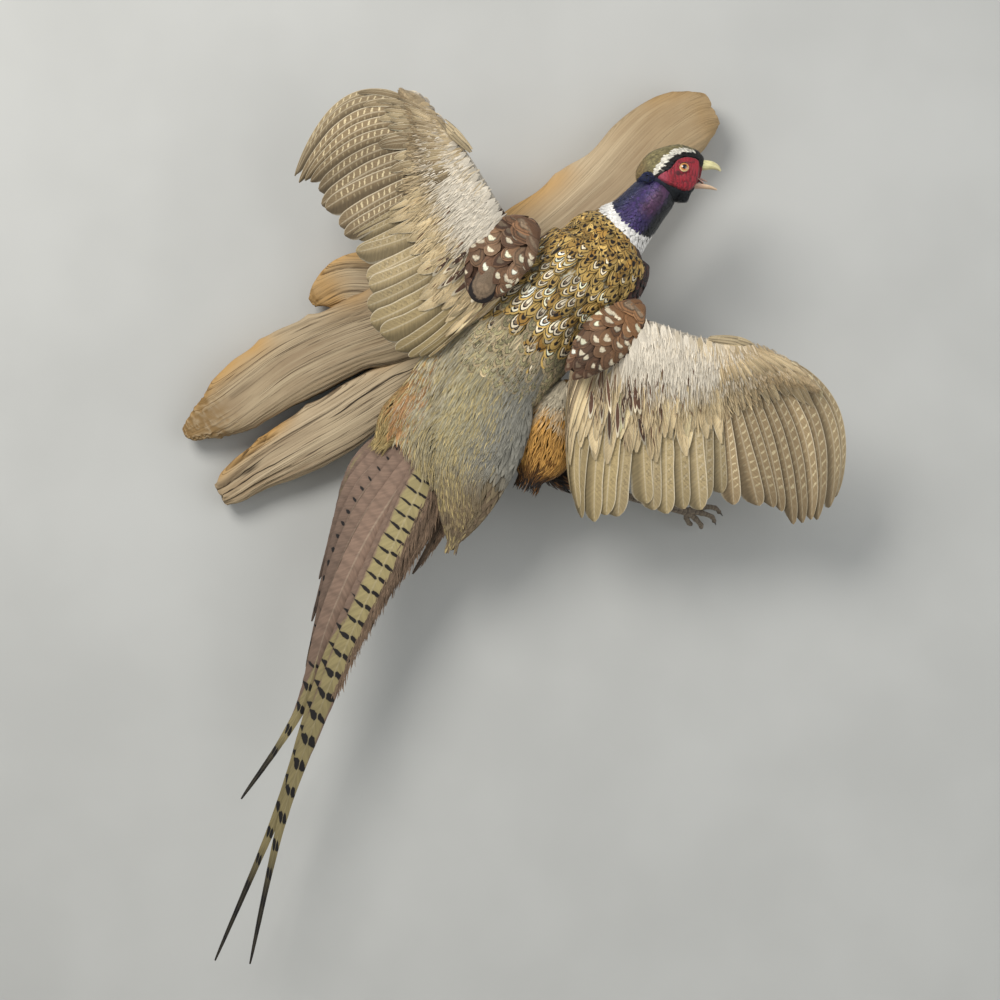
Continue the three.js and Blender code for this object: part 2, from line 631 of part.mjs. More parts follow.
add('trunk', trunk(0), FINISH.mantle);
addHead();
add('tail_coverts', cut(tailCoverts(0), trunk(GAP)), FINISH.rump);
add('flank_right', cut(flankRight(0), trunk(GAP), tailCoverts(GAP)), FINISH.flank);
add('flank_left', cut(flankLeft(0), trunk(GAP), tailCoverts(GAP)), FINISH.flank);
addTail();
addWing('left');
addWing('right');
addLeg('right');
addLeg('left');
addMount();

export default group;
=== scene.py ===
"""A ring-necked cock pheasant mounted in flight on driftwood: skin, feathers, bare parts, wood and light.

Millimetres in the tables, as in the part's source, and metres in every mesh. +Z is up, the wall is the
plane y = 0 and the bird's back faces the viewer, towards -Y. Shapes are functions of two parameters,
worked out as whole arrays.
"""
from types import SimpleNamespace

import bpy
import numpy as np
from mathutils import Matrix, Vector


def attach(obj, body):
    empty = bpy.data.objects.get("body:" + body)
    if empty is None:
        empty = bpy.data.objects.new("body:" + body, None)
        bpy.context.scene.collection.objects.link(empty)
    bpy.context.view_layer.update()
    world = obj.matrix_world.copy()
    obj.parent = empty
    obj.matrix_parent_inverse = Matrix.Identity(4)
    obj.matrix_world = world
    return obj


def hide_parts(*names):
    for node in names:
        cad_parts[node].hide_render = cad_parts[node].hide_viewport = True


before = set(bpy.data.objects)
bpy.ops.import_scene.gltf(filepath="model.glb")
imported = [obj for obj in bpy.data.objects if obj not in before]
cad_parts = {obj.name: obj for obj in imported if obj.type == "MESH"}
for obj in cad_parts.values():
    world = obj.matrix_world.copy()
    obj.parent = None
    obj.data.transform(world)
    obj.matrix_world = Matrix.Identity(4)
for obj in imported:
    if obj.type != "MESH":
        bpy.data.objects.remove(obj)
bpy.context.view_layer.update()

MM = 0.001
BACK = np.array([0, -1, 0])
CROWN = np.array([-0.1, 0, 1]) / np.hypot(0.1, 1)
# The head's middle plane (y), the plane just before the wall, and the eye: its place seen from the side,
# how far out its middle is, its radius, and the pupil's radius and shift.
HEAD_MIDDLE = -143
WALL_SIDE = -1.8
EYE_AT = (167.2, 52.1)
EYE_OUT = 11.4
EYE_RADIUS = 6.5
PUPIL_RADIUS = 2.1
PUPIL_SHIFT = (0.2, 0.5)


# ---- colours

def paint(code):
    """A display colour '#rrggbb' as the linear light that a shader takes."""
    c = np.array([int(code[i:i + 2], 16) for i in (1, 3, 5)]) / 255
    return np.where(c <= 0.04045, c / 12.92, ((c + 0.055) / 1.055) ** 2.4)


INK = paint("#17110f")
GOLD = paint("#c0a05c")
DEEP_GOLD = paint("#98702f")
CREAM = paint("#ddcfb2")
BUFF = paint("#a8935f")
OLIVE = paint("#8a8260")
SLATE = paint("#88857a")
RUMP_GREEN = paint("#a39a7b")
STREAK = paint("#b5a16c")
RUFOUS = paint("#a8733f")
MAROON = paint("#553c2c")
TAUPE = paint("#85715b")
CHESTNUT = paint("#7a5a3f")
STREAK_BROWN = paint("#5b4132")
COPPER = paint("#4a251b")
NAVY = paint("#1c2247")
VIOLET = paint("#452f6b")
BLACK_GREEN = paint("#10151a")
WHITE = paint("#efece6")
CROWN_OLIVE = paint("#867b53")
BROW = paint("#ded8c8")
PALE_GREY = paint("#cfc5b3")
WARM_BUFF = paint("#c4af88")
UNDER_GREY = paint("#9a9184")
PRIMARY = paint("#937e5e")
SECONDARY = paint("#a8946b")
VANE_SPOT = paint("#d6c49c")
TAIL_OLIVE = paint("#9e9064")
MAUVE = paint("#846c5b")
THIGH = paint("#2b211b")
PALE_RUMP = paint("#b0a78f")
FRINGE_BROWN = paint("#79634f")
LOW_RUMP = paint("#7b6b50")
GAPE_RED = paint("#8a1c2a")
PLUM = paint("#5a3550")
FLANK_ORANGE = paint("#c08f48")
FLANK_BROWN = paint("#80592a")
TIP_BROWN = paint("#7a5020")


# ---- lines, bodies and surfaces

def smooth(rows, t):
    """A Catmull-Rom line through rows of numbers, t from 0 to 1, going on straight past both ends."""
    rows = np.asarray(rows, float)
    t = np.asarray(t, float)
    spans = len(rows) - 1
    place = np.clip(t, 0, 1) * spans
    i = np.minimum(spans - 1, place.astype(int))
    f = (place - i)[..., None]
    a, b, c, d = (rows[np.clip(i + k, 0, spans)] for k in (-1, 0, 1, 2))
    line = 0.5 * (2 * b + (c - a) * f + (2 * a - 5 * b + 4 * c - d) * f ** 2
                  + (3 * b - a - 3 * c + d) * f ** 3)
    past = (t - np.clip(t, 0, 1))[..., None] * spans
    return line + past * np.where(t[..., None] < 0.5, rows[1] - rows[0], rows[-1] - rows[-2])


def unit(v):
    return v / np.maximum(np.linalg.norm(v, axis=-1, keepdims=True), 1e-9)


def step(x, low, high):
    """0 below low, 1 above high, eased between."""
    f = np.clip((x - low) / (high - low), 0, 1)
    return f * f * (3 - 2 * f)


def blend(a, b, f):
    return a + (b - a) * np.asarray(f)[..., None]


def signed(c, power):
    """A power of the size of c that keeps its sign."""
    return np.sign(c) * np.abs(c) ** power


def heading(rows, t):
    """The way along a smooth line, from a short step either side."""
    return unit(smooth(rows, t + 0.01) - smooth(rows, t - 0.01))


def grid(a, b):
    return np.meshgrid(a, b, indexing="ij")


def round_grid(rows, sides):
    """How far along (0 to 1) and the angle round, for the rings of a tube."""
    return grid(np.linspace(0, 1, rows), 2 * np.pi * np.arange(sides) / sides)


def nearest(points, line, batch=20000):
    """Which place of a line is nearest to each point."""
    return np.concatenate([np.argmin(((points[i:i + batch, None] - line) ** 2).sum(-1), axis=1)
                           for i in range(0, max(len(points), 1), batch)])


LATTICE = np.random.default_rng(5).uniform(-1, 1, (64, 64))


def ripple(x, y):
    """Smooth noise from -1 to 1 over a plane, one bump a unit: random values at whole numbers, eased."""
    x, y = np.broadcast_arrays(np.asarray(x, float), np.asarray(y, float))
    i, j = np.floor(x).astype(int), np.floor(y).astype(int)
    f, g = x - i, y - j
    f, g = f * f * (3 - 2 * f), g * g * (3 - 2 * g)
    corner = lambda a, b: LATTICE[(i + a) % 64, (j + b) % 64]
    low = corner(0, 0) * (1 - f) + corner(1, 0) * f
    return low * (1 - g) + (corner(0, 1) * (1 - f) + corner(1, 1) * f) * g


class Loft:
    """A body swept along a line: stations of x, y, z, half width, upper half depth, lower half depth."""

    def __init__(self, stations, up=BACK, power=2):
        self.rows = np.array(stations, float)
        self.up, self.power = up, power

    def axes(self, t):
        centre = smooth(self.rows[:, :3], t)
        sizes = smooth(self.rows[:, 3:], np.clip(t, 0, 1))
        along = heading(self.rows[:, :3], t)
        side = unit(np.cross(along, self.up))
        return centre, along, side, np.cross(side, along), np.maximum(sizes, 0.3)

    def at(self, t, angle, out=0):
        """The point at a place along and an angle round, moved out, and the way out there."""
        t, angle = np.broadcast_arrays(np.asarray(t, float), np.asarray(angle, float))
        centre, _, side, over, sizes = self.axes(t)
        c, s = np.cos(angle), np.sin(angle)
        half = np.maximum(sizes[..., 0] + out, 0.2)
        deep = np.maximum(np.where(s > 0, sizes[..., 1], sizes[..., 2]) + out, 0.2)
        bend = 2 / self.power
        reach = [(side, signed(c, bend) * half), (over, signed(s, bend) * deep)]
        slope = [(side, signed(c, 2 - bend) / half), (over, signed(s, 2 - bend) / deep)]
        point, normal = (sum(way * size[..., None] for way, size in pair) for pair in (reach, slope))
        return centre + point, unit(normal)

    def locate(self, points):
        """For each point: the place along of the nearest cross-section, the angle round it, and how far
        out it is, 1 on the surface; far past either end counts as far out."""
        t = np.linspace(0, 1, 60)
        centre, along, side, over, sizes = self.axes(t)
        near = nearest(points, centre)
        gap = points - centre[near]
        a = (gap * side[near]).sum(-1) / sizes[near, 0]
        b = (gap * over[near]).sum(-1)
        b = b / np.where(b > 0, sizes[near, 1], sizes[near, 2])
        past = np.maximum(np.abs((gap * along[near]).sum(-1)) - 6, 0) / sizes[near, 0]
        out = (np.abs(a) ** self.power + np.abs(b) ** self.power) ** (1 / self.power) + past
        return t[near], np.arctan2(b, a), out

    def holds(self, points, margin=0):
        """True where a point lies inside the body by more than the margin, about."""
        t, _, out = self.locate(points)
        sizes = self.axes(t)[4]
        return out < 1 - margin / np.maximum(sizes.mean(-1), 1)


TRUNK = Loft([
    [110, -116, 1, 25, 26, 24], [100, -116, -11, 40, 38, 36], [86, -114, -34, 53, 47, 48],
    [42, -112, -75, 54, 49, 50], [3, -111, -124, 50, 43, 46], [-24, -107, -168, 42, 32, 34],
    [-44, -103, -206, 31, 20, 21], [-54, -100, -234, 17, 9, 9],
], power=2.15)
NECK = Loft([
    [95, -116, -19, 24, 24, 24], [108, -119, -4, 30, 28, 28], [120, -124, 7, 25.5, 25, 25],
    [131, -132, 19, 22.5, 22, 22], [142, -139, 31, 20.5, 19, 19], [150, -143, 41, 16, 13, 13],
])
TAIL_COVERTS = Loft([
    [-2, -134, -112, 22, 14, 8], [-15, -128, -161, 43, 15, 8], [-25, -122, -207, 43, 12, 7],
    [-36, -116, -249, 32, 7, 5], [-44, -112, -278, 20, 4, 3], [-50, -109, -300, 6, 1.2, 1.2],
])
FLANK_RIGHT = Loft([
    [61, -118, -144, 8, 10, 8], [52, -114, -171, 23, 13, 12], [40, -110, -199, 31, 16, 14],
    [31, -106, -222, 27, 12, 11], [24, -104, -239, 12, 5, 5],
])
FLANK_LEFT = Loft([
    [-45, -108, -100, 8, 8, 8], [-65, -104, -126, 15, 11, 10], [-83, -101, -157, 18, 9, 9],
    [-104, -98, -182, 19, 6, 6], [-120, -96, -204, 8, 2, 2],
])
HEAD = Loft([
    [127.6, -142, 38.3, 4, 4, 4], [132.7, -143, 44.3, 10, 13, 14], [142.2, -143, 49, 14.2, 20, 23],
    [153.5, -143, 51.4, 15.8, 22.8, 28.5], [164.8, -143, 52.3, 15.6, 23.8, 28.8],
    [174.2, -143, 52.3, 13.6, 20.8, 28.5], [180.8, -143, 51.4, 10.2, 16.8, 18.5],
    [185.1, -143, 50.4, 6.4, 11, 12],
], up=CROWN, power=2.15)
THIGH_RIGHT = Loft([
    [32, -88, -177, 18, 18, 18], [49, -85, -218, 25, 19, 19], [77, -78, -239, 17, 13, 13],
    [103, -70, -250, 8, 7, 7], [117, -66, -254, 5, 4.5, 4.5],
])
THIGH_LEFT = Loft([
    [-25, -80, -166, 16, 16, 16], [-44, -72, -205, 18, 15, 15], [-58, -68, -232, 11, 9, 9],
    [-66, -66, -247, 6, 6, 6], [-70, -65, -255, 4.6, 4.6, 4.6],
])
WING = {
    "left": {
        "front": [[21, -146, -14, 26], [-2, -160, 20, 24], [-26, -172, 56, 17],
                  [-49, -176, 87, 10], [-74, -166, 116, 5], [-97, -160, 127, 2.5]],
        "rear": [[-26, -146, -75, 26], [-64, -152, -54, 24], [-80, -161, 1, 17],
                 [-91, -167, 43, 10], [-96, -169, 80, 5], [-103, -163, 124, 2.5]],
        "secondaries": {
            "roots": [[8, -150, -56], [-5, -150, -35], [-18, -166, 7], [-37, -176, 45]],
            "bends": [[-26, -146, -91], [-48, -140, -95], [-82, -152, -37], [-102, -158, 18]],
            "tips": [[-56, -138, -108], [-77, -118, -125], [-114, -118, -116],
                     [-136, -120, -71], [-148, -120, -22], [-155, -120, -9]],
            "count": 15,
        },
        "primaries": {
            "roots": [[-37, -176, 45], [-47, -178, 70], [-55, -176, 91]],
            "bends": [[-102, -158, 18], [-126, -164, 97], [-152, -160, 178]],
            "tips": [[-155, -120, -10], [-174, -110, 18], [-187, -102, 43],
                     [-200, -98, 47], [-205, -94, 57]],
            "count": 10,
        },
        "scapulars": Loft([
            [29, -158, 1, 10, 6, 6], [11, -165, -15, 26, 9, 8], [-8, -168, -37, 28, 9, 8],
            [-20, -166, -60, 20, 7, 6], [-26, -162, -75, 6, 2, 2],
        ]),
        "alula": Loft([[-29, -181, 61, 4, 2, 2], [-49, -184, 81, 6, 2, 2], [-69, -176, 104, 2, 1, 1]]),
    },
    "right": {
        "front": [[95, -146, -82, 26], [133, -158, -85, 24], [181, -172, -103, 16],
                  [229, -174, -109, 10], [275, -166, -132, 5], [298, -158, -156, 2.5]],
        "rear": [[74, -146, -165, 26], [127, -151, -203, 24], [173, -158, -193, 16],
                 [217, -168, -171, 10], [255, -169, -164, 5], [296, -158, -163, 2.5]],
        "secondaries": {
            "roots": [[66, -150, -120], [97, -150, -120], [144, -168, -121], [194, -176, -120]],
            "bends": [[59, -146, -150], [46, -140, -202], [106, -150, -193],
                      [156, -154, -193], [207, -156, -195]],
            "tips": [[56, -138, -187], [66, -118, -265], [83, -118, -282],
                     [129, -120, -277], [176, -120, -274], [215, -120, -264]],
            "count": 16,
        },
        "primaries": {
            "roots": [[194, -176, -120], [206, -178, -116], [217, -176, -114]],
            "bends": [[207, -156, -195], [271, -164, -168], [348, -160, -136]],
            "tips": [[215, -120, -264], [254, -110, -268], [282, -102, -285],
                     [302, -98, -281], [322, -94, -261]],
            "count": 10,
        },
        "scapulars": Loft([
            [128, -158, -74, 8, 5, 5], [112, -165, -91, 20, 8, 8], [92, -168, -110, 24, 9, 8],
            [71, -166, -132, 16, 7, 6], [57, -160, -147, 5, 2, 2],
        ]),
        "alula": Loft([[184, -179, -109, 4, 2, 2], [215, -181, -113, 6, 2, 2], [244, -174, -122, 2, 1, 1]]),
    },
}
ARM_RIM = 0.8
ARM_CAMBER = 7
UNDER_COVERTS = 5


def arm_faces(wing, q, t):
    """The wing arm's upper and lower face: q from shoulder to tip, t from leading edge to covert tips."""
    a, b = smooth(wing["front"], q), smooth(wing["rear"], q)
    mid = a[..., :3] + (b[..., :3] - a[..., :3]) * t[..., None]
    inner = np.clip(t, 0, 1)
    mid[..., 1] -= ARM_CAMBER * np.sin(np.pi * inner)
    half = (ARM_RIM + a[..., 3] * 2.6 * np.sqrt(inner) * (1 - inner)) / 2
    up, down = mid.copy(), mid.copy()
    up[..., 1] -= half
    down[..., 1] += half
    return up, down


def fan(feathers, q, t):
    """A sheet of flight feathers: Bezier lines from root by bend to tip, q from the innermost outwards."""
    root, bend, tip = (smooth(feathers[k], q) for k in ("roots", "bends", "tips"))
    t = t[..., None]
    place = (1 - t) ** 2 * root + 2 * t * (1 - t) * bend + t * t * tip
    place[..., 1] += UNDER_COVERTS * (1 - t[..., 0])
    return place


class Relief:
    """A height map: the depth (y) of a cloud of points over a square grid of x and z.

    Each cell keeps the mean of its points or, with nearest, the one nearest the viewer. Empty cells take
    the mean of the known ones beside them, over and over, and then the whole is evened out `calm` times.
    With nearest it never falls behind what it was, so that only the creases are filled."""

    def __init__(self, cloud, nearest=False, calm=3, cell_mm=2):
        self.cell_mm = cell_mm
        flat = cloud[:, [0, 2]]
        self.low = flat.min(0) - 60
        size = ((flat.max(0) + 60 - self.low) / cell_mm).astype(int) + 2
        place = tuple(self.cells(cloud).T)
        count, depth = np.zeros(size), np.zeros(size)
        np.add.at(count, place, 1)
        if nearest:
            np.minimum.at(depth, place, cloud[:, 1])
        else:
            np.add.at(depth, place, cloud[:, 1])
            depth /= np.maximum(count, 1)
        known = np.minimum(count, 1)
        for _ in range(45):
            near = [(np.roll(depth * known, s, axis), np.roll(known, s, axis))
                    for s in (-1, 1) for axis in (0, 1)]
            weight = sum(k for _, k in near)
            depth = np.where(known > 0, depth, sum(d for d, _ in near) / np.maximum(weight, 1))
            known = np.maximum(known, weight > 0)
        self.depth = self.evened(depth, calm)
        if nearest:
            self.depth = self.evened(np.minimum(self.depth, depth), 6)

    def cells(self, points):
        return ((points[:, [0, 2]] - self.low) / self.cell_mm).astype(int)

    @staticmethod
    def evened(depth, rounds):
        for _ in range(rounds):
            depth = sum(np.roll(depth, s, axis) for s in (-1, 1) for axis in (0, 1)) / 4
        return depth

    def cell_of(self, points, others):
        """True for the points that share a cell with one of the others."""
        held = np.zeros(self.depth.shape, bool)
        held[tuple(self.cells(others).T)] = True
        return held[tuple(np.clip(self.cells(points), 0, np.array(held.shape) - 1).T)]

    def at(self, x, z):
        place = (np.stack([x, z], -1) - self.low) / self.cell_mm - 0.5
        place = np.clip(place, 0, np.array(self.depth.shape) - 2.001)
        (i, j), (f, g), d = np.moveaxis(place.astype(int), -1, 0), np.moveaxis(place % 1, -1, 0), self.depth
        return ((d[i, j] * (1 - f) + d[i + 1, j] * f) * (1 - g)
                + (d[i, j + 1] * (1 - f) + d[i + 1, j + 1] * f) * g)


def sampled(surface, span_a, span_b, count):
    return surface(*grid(np.linspace(*span_a, count), np.linspace(*span_b, count))).reshape(-1, 3)


COVERT_FALL = (0.28, 1.12)
COVERT_THICK = 1.6


def wing_top(wing, q, t):
    """The upper side of the coverts: the arm's upper face, easing down on to the flight feathers."""
    up, _ = arm_faces(wing, q, t)
    fall = step(t, *COVERT_FALL)
    up[..., 1] += (wing["sheet"].at(up[..., 0], up[..., 2]) - COVERT_THICK - up[..., 1]) * fall
    return up


def with_normals(surface, outward):
    """Makes a surface of two parameters give its normal too, from two short steps along it."""
    def both(a, b):
        here = surface(a, b)
        e = 1e-3
        n = unit(np.cross(surface(a + e, b) - here, surface(a, b + e) - here))
        return here, n * np.sign((n * outward).sum(-1, keepdims=True) + 1e-12)
    return both


def add_reliefs(wing):
    """The wing's two height maps: the sheet of its flight feathers, and the coverts' top with the sheet
    beyond them."""
    sheet = np.concatenate([sampled(lambda q, t: fan(wing[k], q, t), (-0.04, 1.04), (0, 1), 200)
                            for k in ("secondaries", "primaries")])
    wing["sheet"] = Relief(sheet)
    arm = sampled(lambda q, t: wing_top(wing, q, t), (-0.02, 1.02), (-0.02, 1.1), 260)
    beyond = sheet[~Relief(arm).cell_of(sheet, arm)] - [0, COVERT_THICK, 0]
    wing["top"] = Relief(np.concatenate([arm, beyond]))


add_reliefs(WING["left"])
add_reliefs(WING["right"])
BACK_LINE = np.array([[20, -85, 50], [-2, -113, 56], [-28, -150, 58], [-43, -182, 58], [-58, -212, 58],
                      [-62, -243, 50], [-54, -275, 34], [-47, -302, 16]], float)
TAIL_TOP = -105
BACK_RELIEF = Relief(np.concatenate(
    [sampled(lambda t, a: body.at(t, a)[0], (0, 1), (-0.3, np.pi + 0.3), 220)
     for body in (TRUNK, TAIL_COVERTS, FLANK_LEFT)]
    + [sampled(lambda t, c: np.stack([-60 - 40 * t + 45 * c, TAIL_TOP + 0 * t, -190 - 120 * t + 20 * c], -1),
               (0, 1), (-1, 1), 120)]), nearest=True, calm=60)


def over_back(t, c):
    """The evened-out upper side from the waist to the tail: t runs down it, c from its right edge (-1) to
    its left one (1)."""
    rows, down = back_axis(t)
    x = rows[..., 0] + down[..., 1] * rows[..., 2] * c
    z = rows[..., 1] - down[..., 0] * rows[..., 2] * c
    return np.stack([x, BACK_RELIEF.at(x, z), z], -1)


def back_axis(t):
    return smooth(BACK_LINE, t), heading(BACK_LINE[:, :2], t)


def on_back(points):
    """Where points lie on the back: how far down it and across, as over_back takes them."""
    t = np.linspace(-0.1, 1.1, 140)
    rows, down = back_axis(t)
    flat = points[:, [0, 2]]
    near = nearest(flat, rows[:, :2])
    gap = flat - rows[near, :2]
    return t[near], (gap[:, 0] * down[near, 1] - gap[:, 1] * down[near, 0]) / rows[near, 2]


# ---- meshes

def put(name, data):
    thing = bpy.data.objects.new(name, data)
    bpy.context.scene.collection.objects.link(thing)
    return thing


def make_object(name, points, faces, material, slot, *replaced, colours=(), maps=(), sharp=None):
    """A mesh object from points in millimetres and faces of three or four corners. It rides on the body and
    stands in for the solids named last."""
    mesh = bpy.data.meshes.new(name)
    faces = [np.asarray(f, np.int32) for f in (faces if isinstance(faces, list) else [faces])]
    counts = np.concatenate([np.full(len(f), f.shape[1], np.int32) for f in faces])
    corners = np.concatenate([f.ravel() for f in faces])
    mesh.vertices.add(len(points))
    mesh.vertices.foreach_set("co", (np.asarray(points) * MM).astype(np.float32).ravel())
    mesh.loops.add(len(corners))
    mesh.loops.foreach_set("vertex_index", corners)
    mesh.polygons.add(len(counts))
    mesh.polygons.foreach_set("loop_start", (np.cumsum(counts) - counts).astype(np.int32))
    mesh.update(calc_edges=True)
    mesh.polygons.foreach_set("use_smooth", np.full(len(counts), True))
    for label, values in dict(colours).items():
        rgba = np.column_stack([values, np.ones(len(points))]).astype(np.float32)
        mesh.attributes.new(label, "FLOAT_COLOR", "POINT").data.foreach_set("color", rgba.ravel())
    for label, values in dict(maps).items():
        mesh.uv_layers.new(name=label).data.foreach_set("uv", np.asarray(values, np.float32).ravel())
    if sharp is not None:
        ends = np.zeros(len(mesh.edges) * 2, np.int32)
        mesh.edges.foreach_get("vertices", ends)
        edge = mesh.attributes.new("sharp_edge", "BOOLEAN", "EDGE")
        edge.data.foreach_set("value", sharp[ends].reshape(-1, 2).all(axis=1))
    mesh.materials.append(material)
    piece = put(name, mesh)
    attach(piece, "root")
    if replaced:
        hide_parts(*replaced)


def grid_faces(rows, cols, wrap=False):
    """Quads of a grid of rows by columns; with wrap the last column joins the first."""
    r = np.arange(rows - 1)[:, None] * cols
    c = np.arange(cols if wrap else cols - 1)[None]
    d = (c + 1) % cols
    return np.stack([r + c, r + d, r + cols + d, r + cols + c], -1).reshape(-1, 4)


def tube(rings):
    """A closed tube from rings of points, (rings, sides, 3), its ends drawn together: points and faces."""
    n, sides, _ = rings.shape
    points = np.concatenate([rings.reshape(-1, 3), rings[0].mean(0)[None], rings[-1].mean(0)[None]])
    j = np.arange(sides)
    k = (j + 1) % sides
    first = np.stack([np.full(sides, n * sides), k, j], -1)
    last = np.stack([np.full(sides, n * sides + 1), (n - 1) * sides + j, (n - 1) * sides + k], -1)
    quads = grid_faces(n, sides, wrap=True)
    faces = [quads, np.concatenate([first, last])]
    a, b, c, _ = points[quads].swapaxes(0, 1)
    if (np.cross(b - a, c - a) * (points[quads].mean(1) - points[:-2].mean(0))).sum() < 0:
        faces = [f[:, ::-1] for f in faces]
    return points, faces


def joined(parts):
    """Several (points, [quads, triangles]) as one."""
    start = np.cumsum([0] + [len(p) for p, _ in parts[:-1]])
    return (np.concatenate([p for p, _ in parts]),
            [np.concatenate([f[kind] + s for (_, f), s in zip(parts, start)]) for kind in (0, 1)])


# ---- feathers

TONES = ("core", "band", "rim", "marks", "fine")
ROUND, POINTED, BROAD = (0.55, 0.3), (0.25, 0.35), (0.72, 0.22)


class Coat:
    """Collects vanes of one piece: closed thin leaves, each a grid from root to tip and edge to edge.

    The upper face is a grid of rows by columns; the lower one shares its rim and lies beneath. Each vane
    has its colours and marks, its own map of place on the vane, and a patch of the bake's map."""

    def __init__(self):
        self.kept, self.total = {}, 0

    def add(self, top, bottom, across, along, tones, patch, patch_size):
        """top, bottom: (n, rows, cols, 3); across, along: (rows, cols) or (n, rows, cols) in 0..1."""
        n, rows, cols, _ = top.shape

        def on_points(upper, lower):
            return np.concatenate([upper.reshape(n, -1, 3), lower[:, 1:-1, 1:-1].reshape(n, -1, 3)], axis=1)

        points = on_points(top, bottom)
        per = points.shape[1]
        upper = np.arange(rows * cols).reshape(rows, cols)
        lower = upper.copy()
        lower[1:-1, 1:-1] = rows * cols + np.arange((rows - 2) * (cols - 2)).reshape(rows - 2, cols - 2)
        quads = grid_faces(rows, cols)
        order = np.concatenate([quads, quads[:, ::-1]])
        faces = np.concatenate([quads, lower.ravel()[quads][:, ::-1]])
        a, b, c, d = (points[0] - points[0].mean(0))[faces].swapaxes(0, 1)
        if (np.cross(a, b) * c + np.cross(a, c) * d).sum() < 0:
            faces, order = faces[:, ::-1], order[:, ::-1]
        sharp = np.append(upper == lower, np.zeros(per - rows * cols, bool))
        across, along = (np.broadcast_to(f, (n, rows, cols)).reshape(n, -1) for f in (across, along))
        here = np.stack([across[:, order], along[:, order]], -1)
        under = (np.arange(len(order)) >= len(quads))[None, :, None, None]
        spot = here * [0.46, 0.94] + np.where(under, [0.52, 0.03], [0.02, 0.03])
        size = np.broadcast_to(patch_size, (n, 2))[:, None, None, :]
        new = {"points": points, "sharp": np.tile(sharp, n)[:, None], "Vane": here,
               "faces": faces[None] + np.arange(n)[:, None, None] * per + self.total,
               "OFBake": patch[:, None, None, :] - size / 2 + spot * size}
        for key in TONES:
            values = np.asarray(tones[key], float)
            new[key] = on_points(values, values) if values.ndim == 4 else np.repeat(
                np.broadcast_to(values, (n, 3)), per, axis=0)
        for key, values in new.items():
            self.kept.setdefault(key, []).append(values.reshape(-1, values.shape[-1]))
        self.total += n * per

    def make(self, name, material, slot, *replaced):
        whole = {key: np.concatenate(values) for key, values in self.kept.items()}
        make_object(name, whole["points"], whole["faces"], material, slot, *replaced,
                    colours={key: whole[key] for key in TONES},
                    maps={key: whole[key] for key in ("Vane", "OFBake")}, sharp=whole["sharp"][:, 0])


def vane_width(v, shape):
    """Half width along a vane, 0 at the root to 1 at the tip: a quick swell, a body and a rounded end. A
    shape says where the end begins and where the vane is full."""
    start, full = shape
    end = np.sqrt(1 - np.clip((v - start) / (1 - start), 0, 0.992) ** 2)
    return (0.3 + 0.7 * np.clip(v / full, 0, 1) ** 0.7) * end


class Roots:
    """Places of feathers on a surface, each with its own cell of the bake's map (centre and size)."""

    def __init__(self, t, a, cells, size):
        self.t, self.a, self.cells, self.size = t, a, cells, size

    def keep(self, mask):
        return Roots(self.t[mask], self.a[mask], self.cells[mask], self.size)

    def __len__(self):
        return len(self.t)


def rows_over(span_t, span_a, rows, columns, rng, wobble=0.25, area=(0, 0, 1, 1)):
    """Roots in staggered rows over a stretch of a surface, each a little off its row and column.

    The cells lie as the roots do, row by row, on the stretch unrolled into `area` of the map."""
    r, c = grid(np.arange(rows), np.arange(columns))
    shift = 0.25 + 0.5 * (r % 2)
    t = (r + 0.5 + wobble * rng.uniform(-1, 1, r.shape)) / rows
    a = (c + shift + wobble * rng.uniform(-1, 1, r.shape)) / columns
    x0, y0, x1, y1 = np.array(area) * 0.98 + 0.01
    size = np.array([(x1 - x0) / rows, (y1 - y0) / (columns + 0.5)])
    cells = np.stack([x0 + (r + 0.5) * size[0], y0 + (c + shift + 0.25) * size[1]], -1).reshape(-1, 2)
    t, a = (span[0] + (span[1] - span[0]) * f.ravel() for span, f in ((span_t, t), (span_a, a)))
    return Roots(t, a, cells, size)


def lay(coat, surface, roots, *, length, width, flow=1, depth=1.5, lift=0.4, turn=0, shape=ROUND,
        rows=8, cols=5, thick=0.3, arch=0.06, swerve=0, tones):
    """Lays vanes on a surface of two parameters, hugging it from root to tip.

    A vane's place along and across in millimetres becomes a step in t and a: by how far the whole vane
    reaches along the surface, found in a few rounds, and by how far a small step across goes. It starts
    `depth` under the surface and comes out to `lift` above it, so that every vane lies over the next one
    down the body. flow is +1 or -1: the way in t that the feathers point."""
    if not len(roots):
        return
    t, a, length, width, depth, turn, lift, swerve = (
        np.broadcast_to(value, len(roots))[:, None, None]
        for value in (roots.t, roots.a, length, width, depth, turn, lift, swerve))
    here, _ = surface(t, a)

    def goes(t, a):
        return np.linalg.norm(surface(t, a)[0] - here, axis=-1)

    e = 1e-3
    per_t = np.maximum(goes(t + e, a) / e, 1)
    for _ in range(4):
        per_t = per_t * np.clip(goes(t + flow * length / per_t, a) / length, 0.5, 2)
    per_a = np.maximum(goes(t, a + e) / e, 1)
    v2, u2 = grid(1 - (1 - np.linspace(0, 1, rows)) ** 1.6, np.linspace(-1, 1, cols))
    along = v2[None] * length
    across = (u2 * vane_width(v2, shape))[None] * width / 2 + swerve * along * v2[None]
    point, normal = surface(t + flow * (along * np.cos(turn) - across * np.sin(turn)) / per_t,
                            a + (along * np.sin(turn) + across * np.cos(turn)) / per_a)
    inside = (1 - u2 ** 2)[None]
    height = (lift * v2 ** 2 - depth * (1 - v2) ** 1.5
              + arch * width * inside * np.sin(np.pi * np.clip(v2, 0.05, 0.97)))
    top = point + normal * height[..., None]
    bottom = top - normal * (thick * inside * np.sin(np.pi * np.clip(v2, 0.1, 0.95)) + 0.05)[..., None]
    coat.add(top, bottom, (u2 + 1) / 2, v2, tones, roots.cells, roots.size * 0.86)


# ---- shader graphs

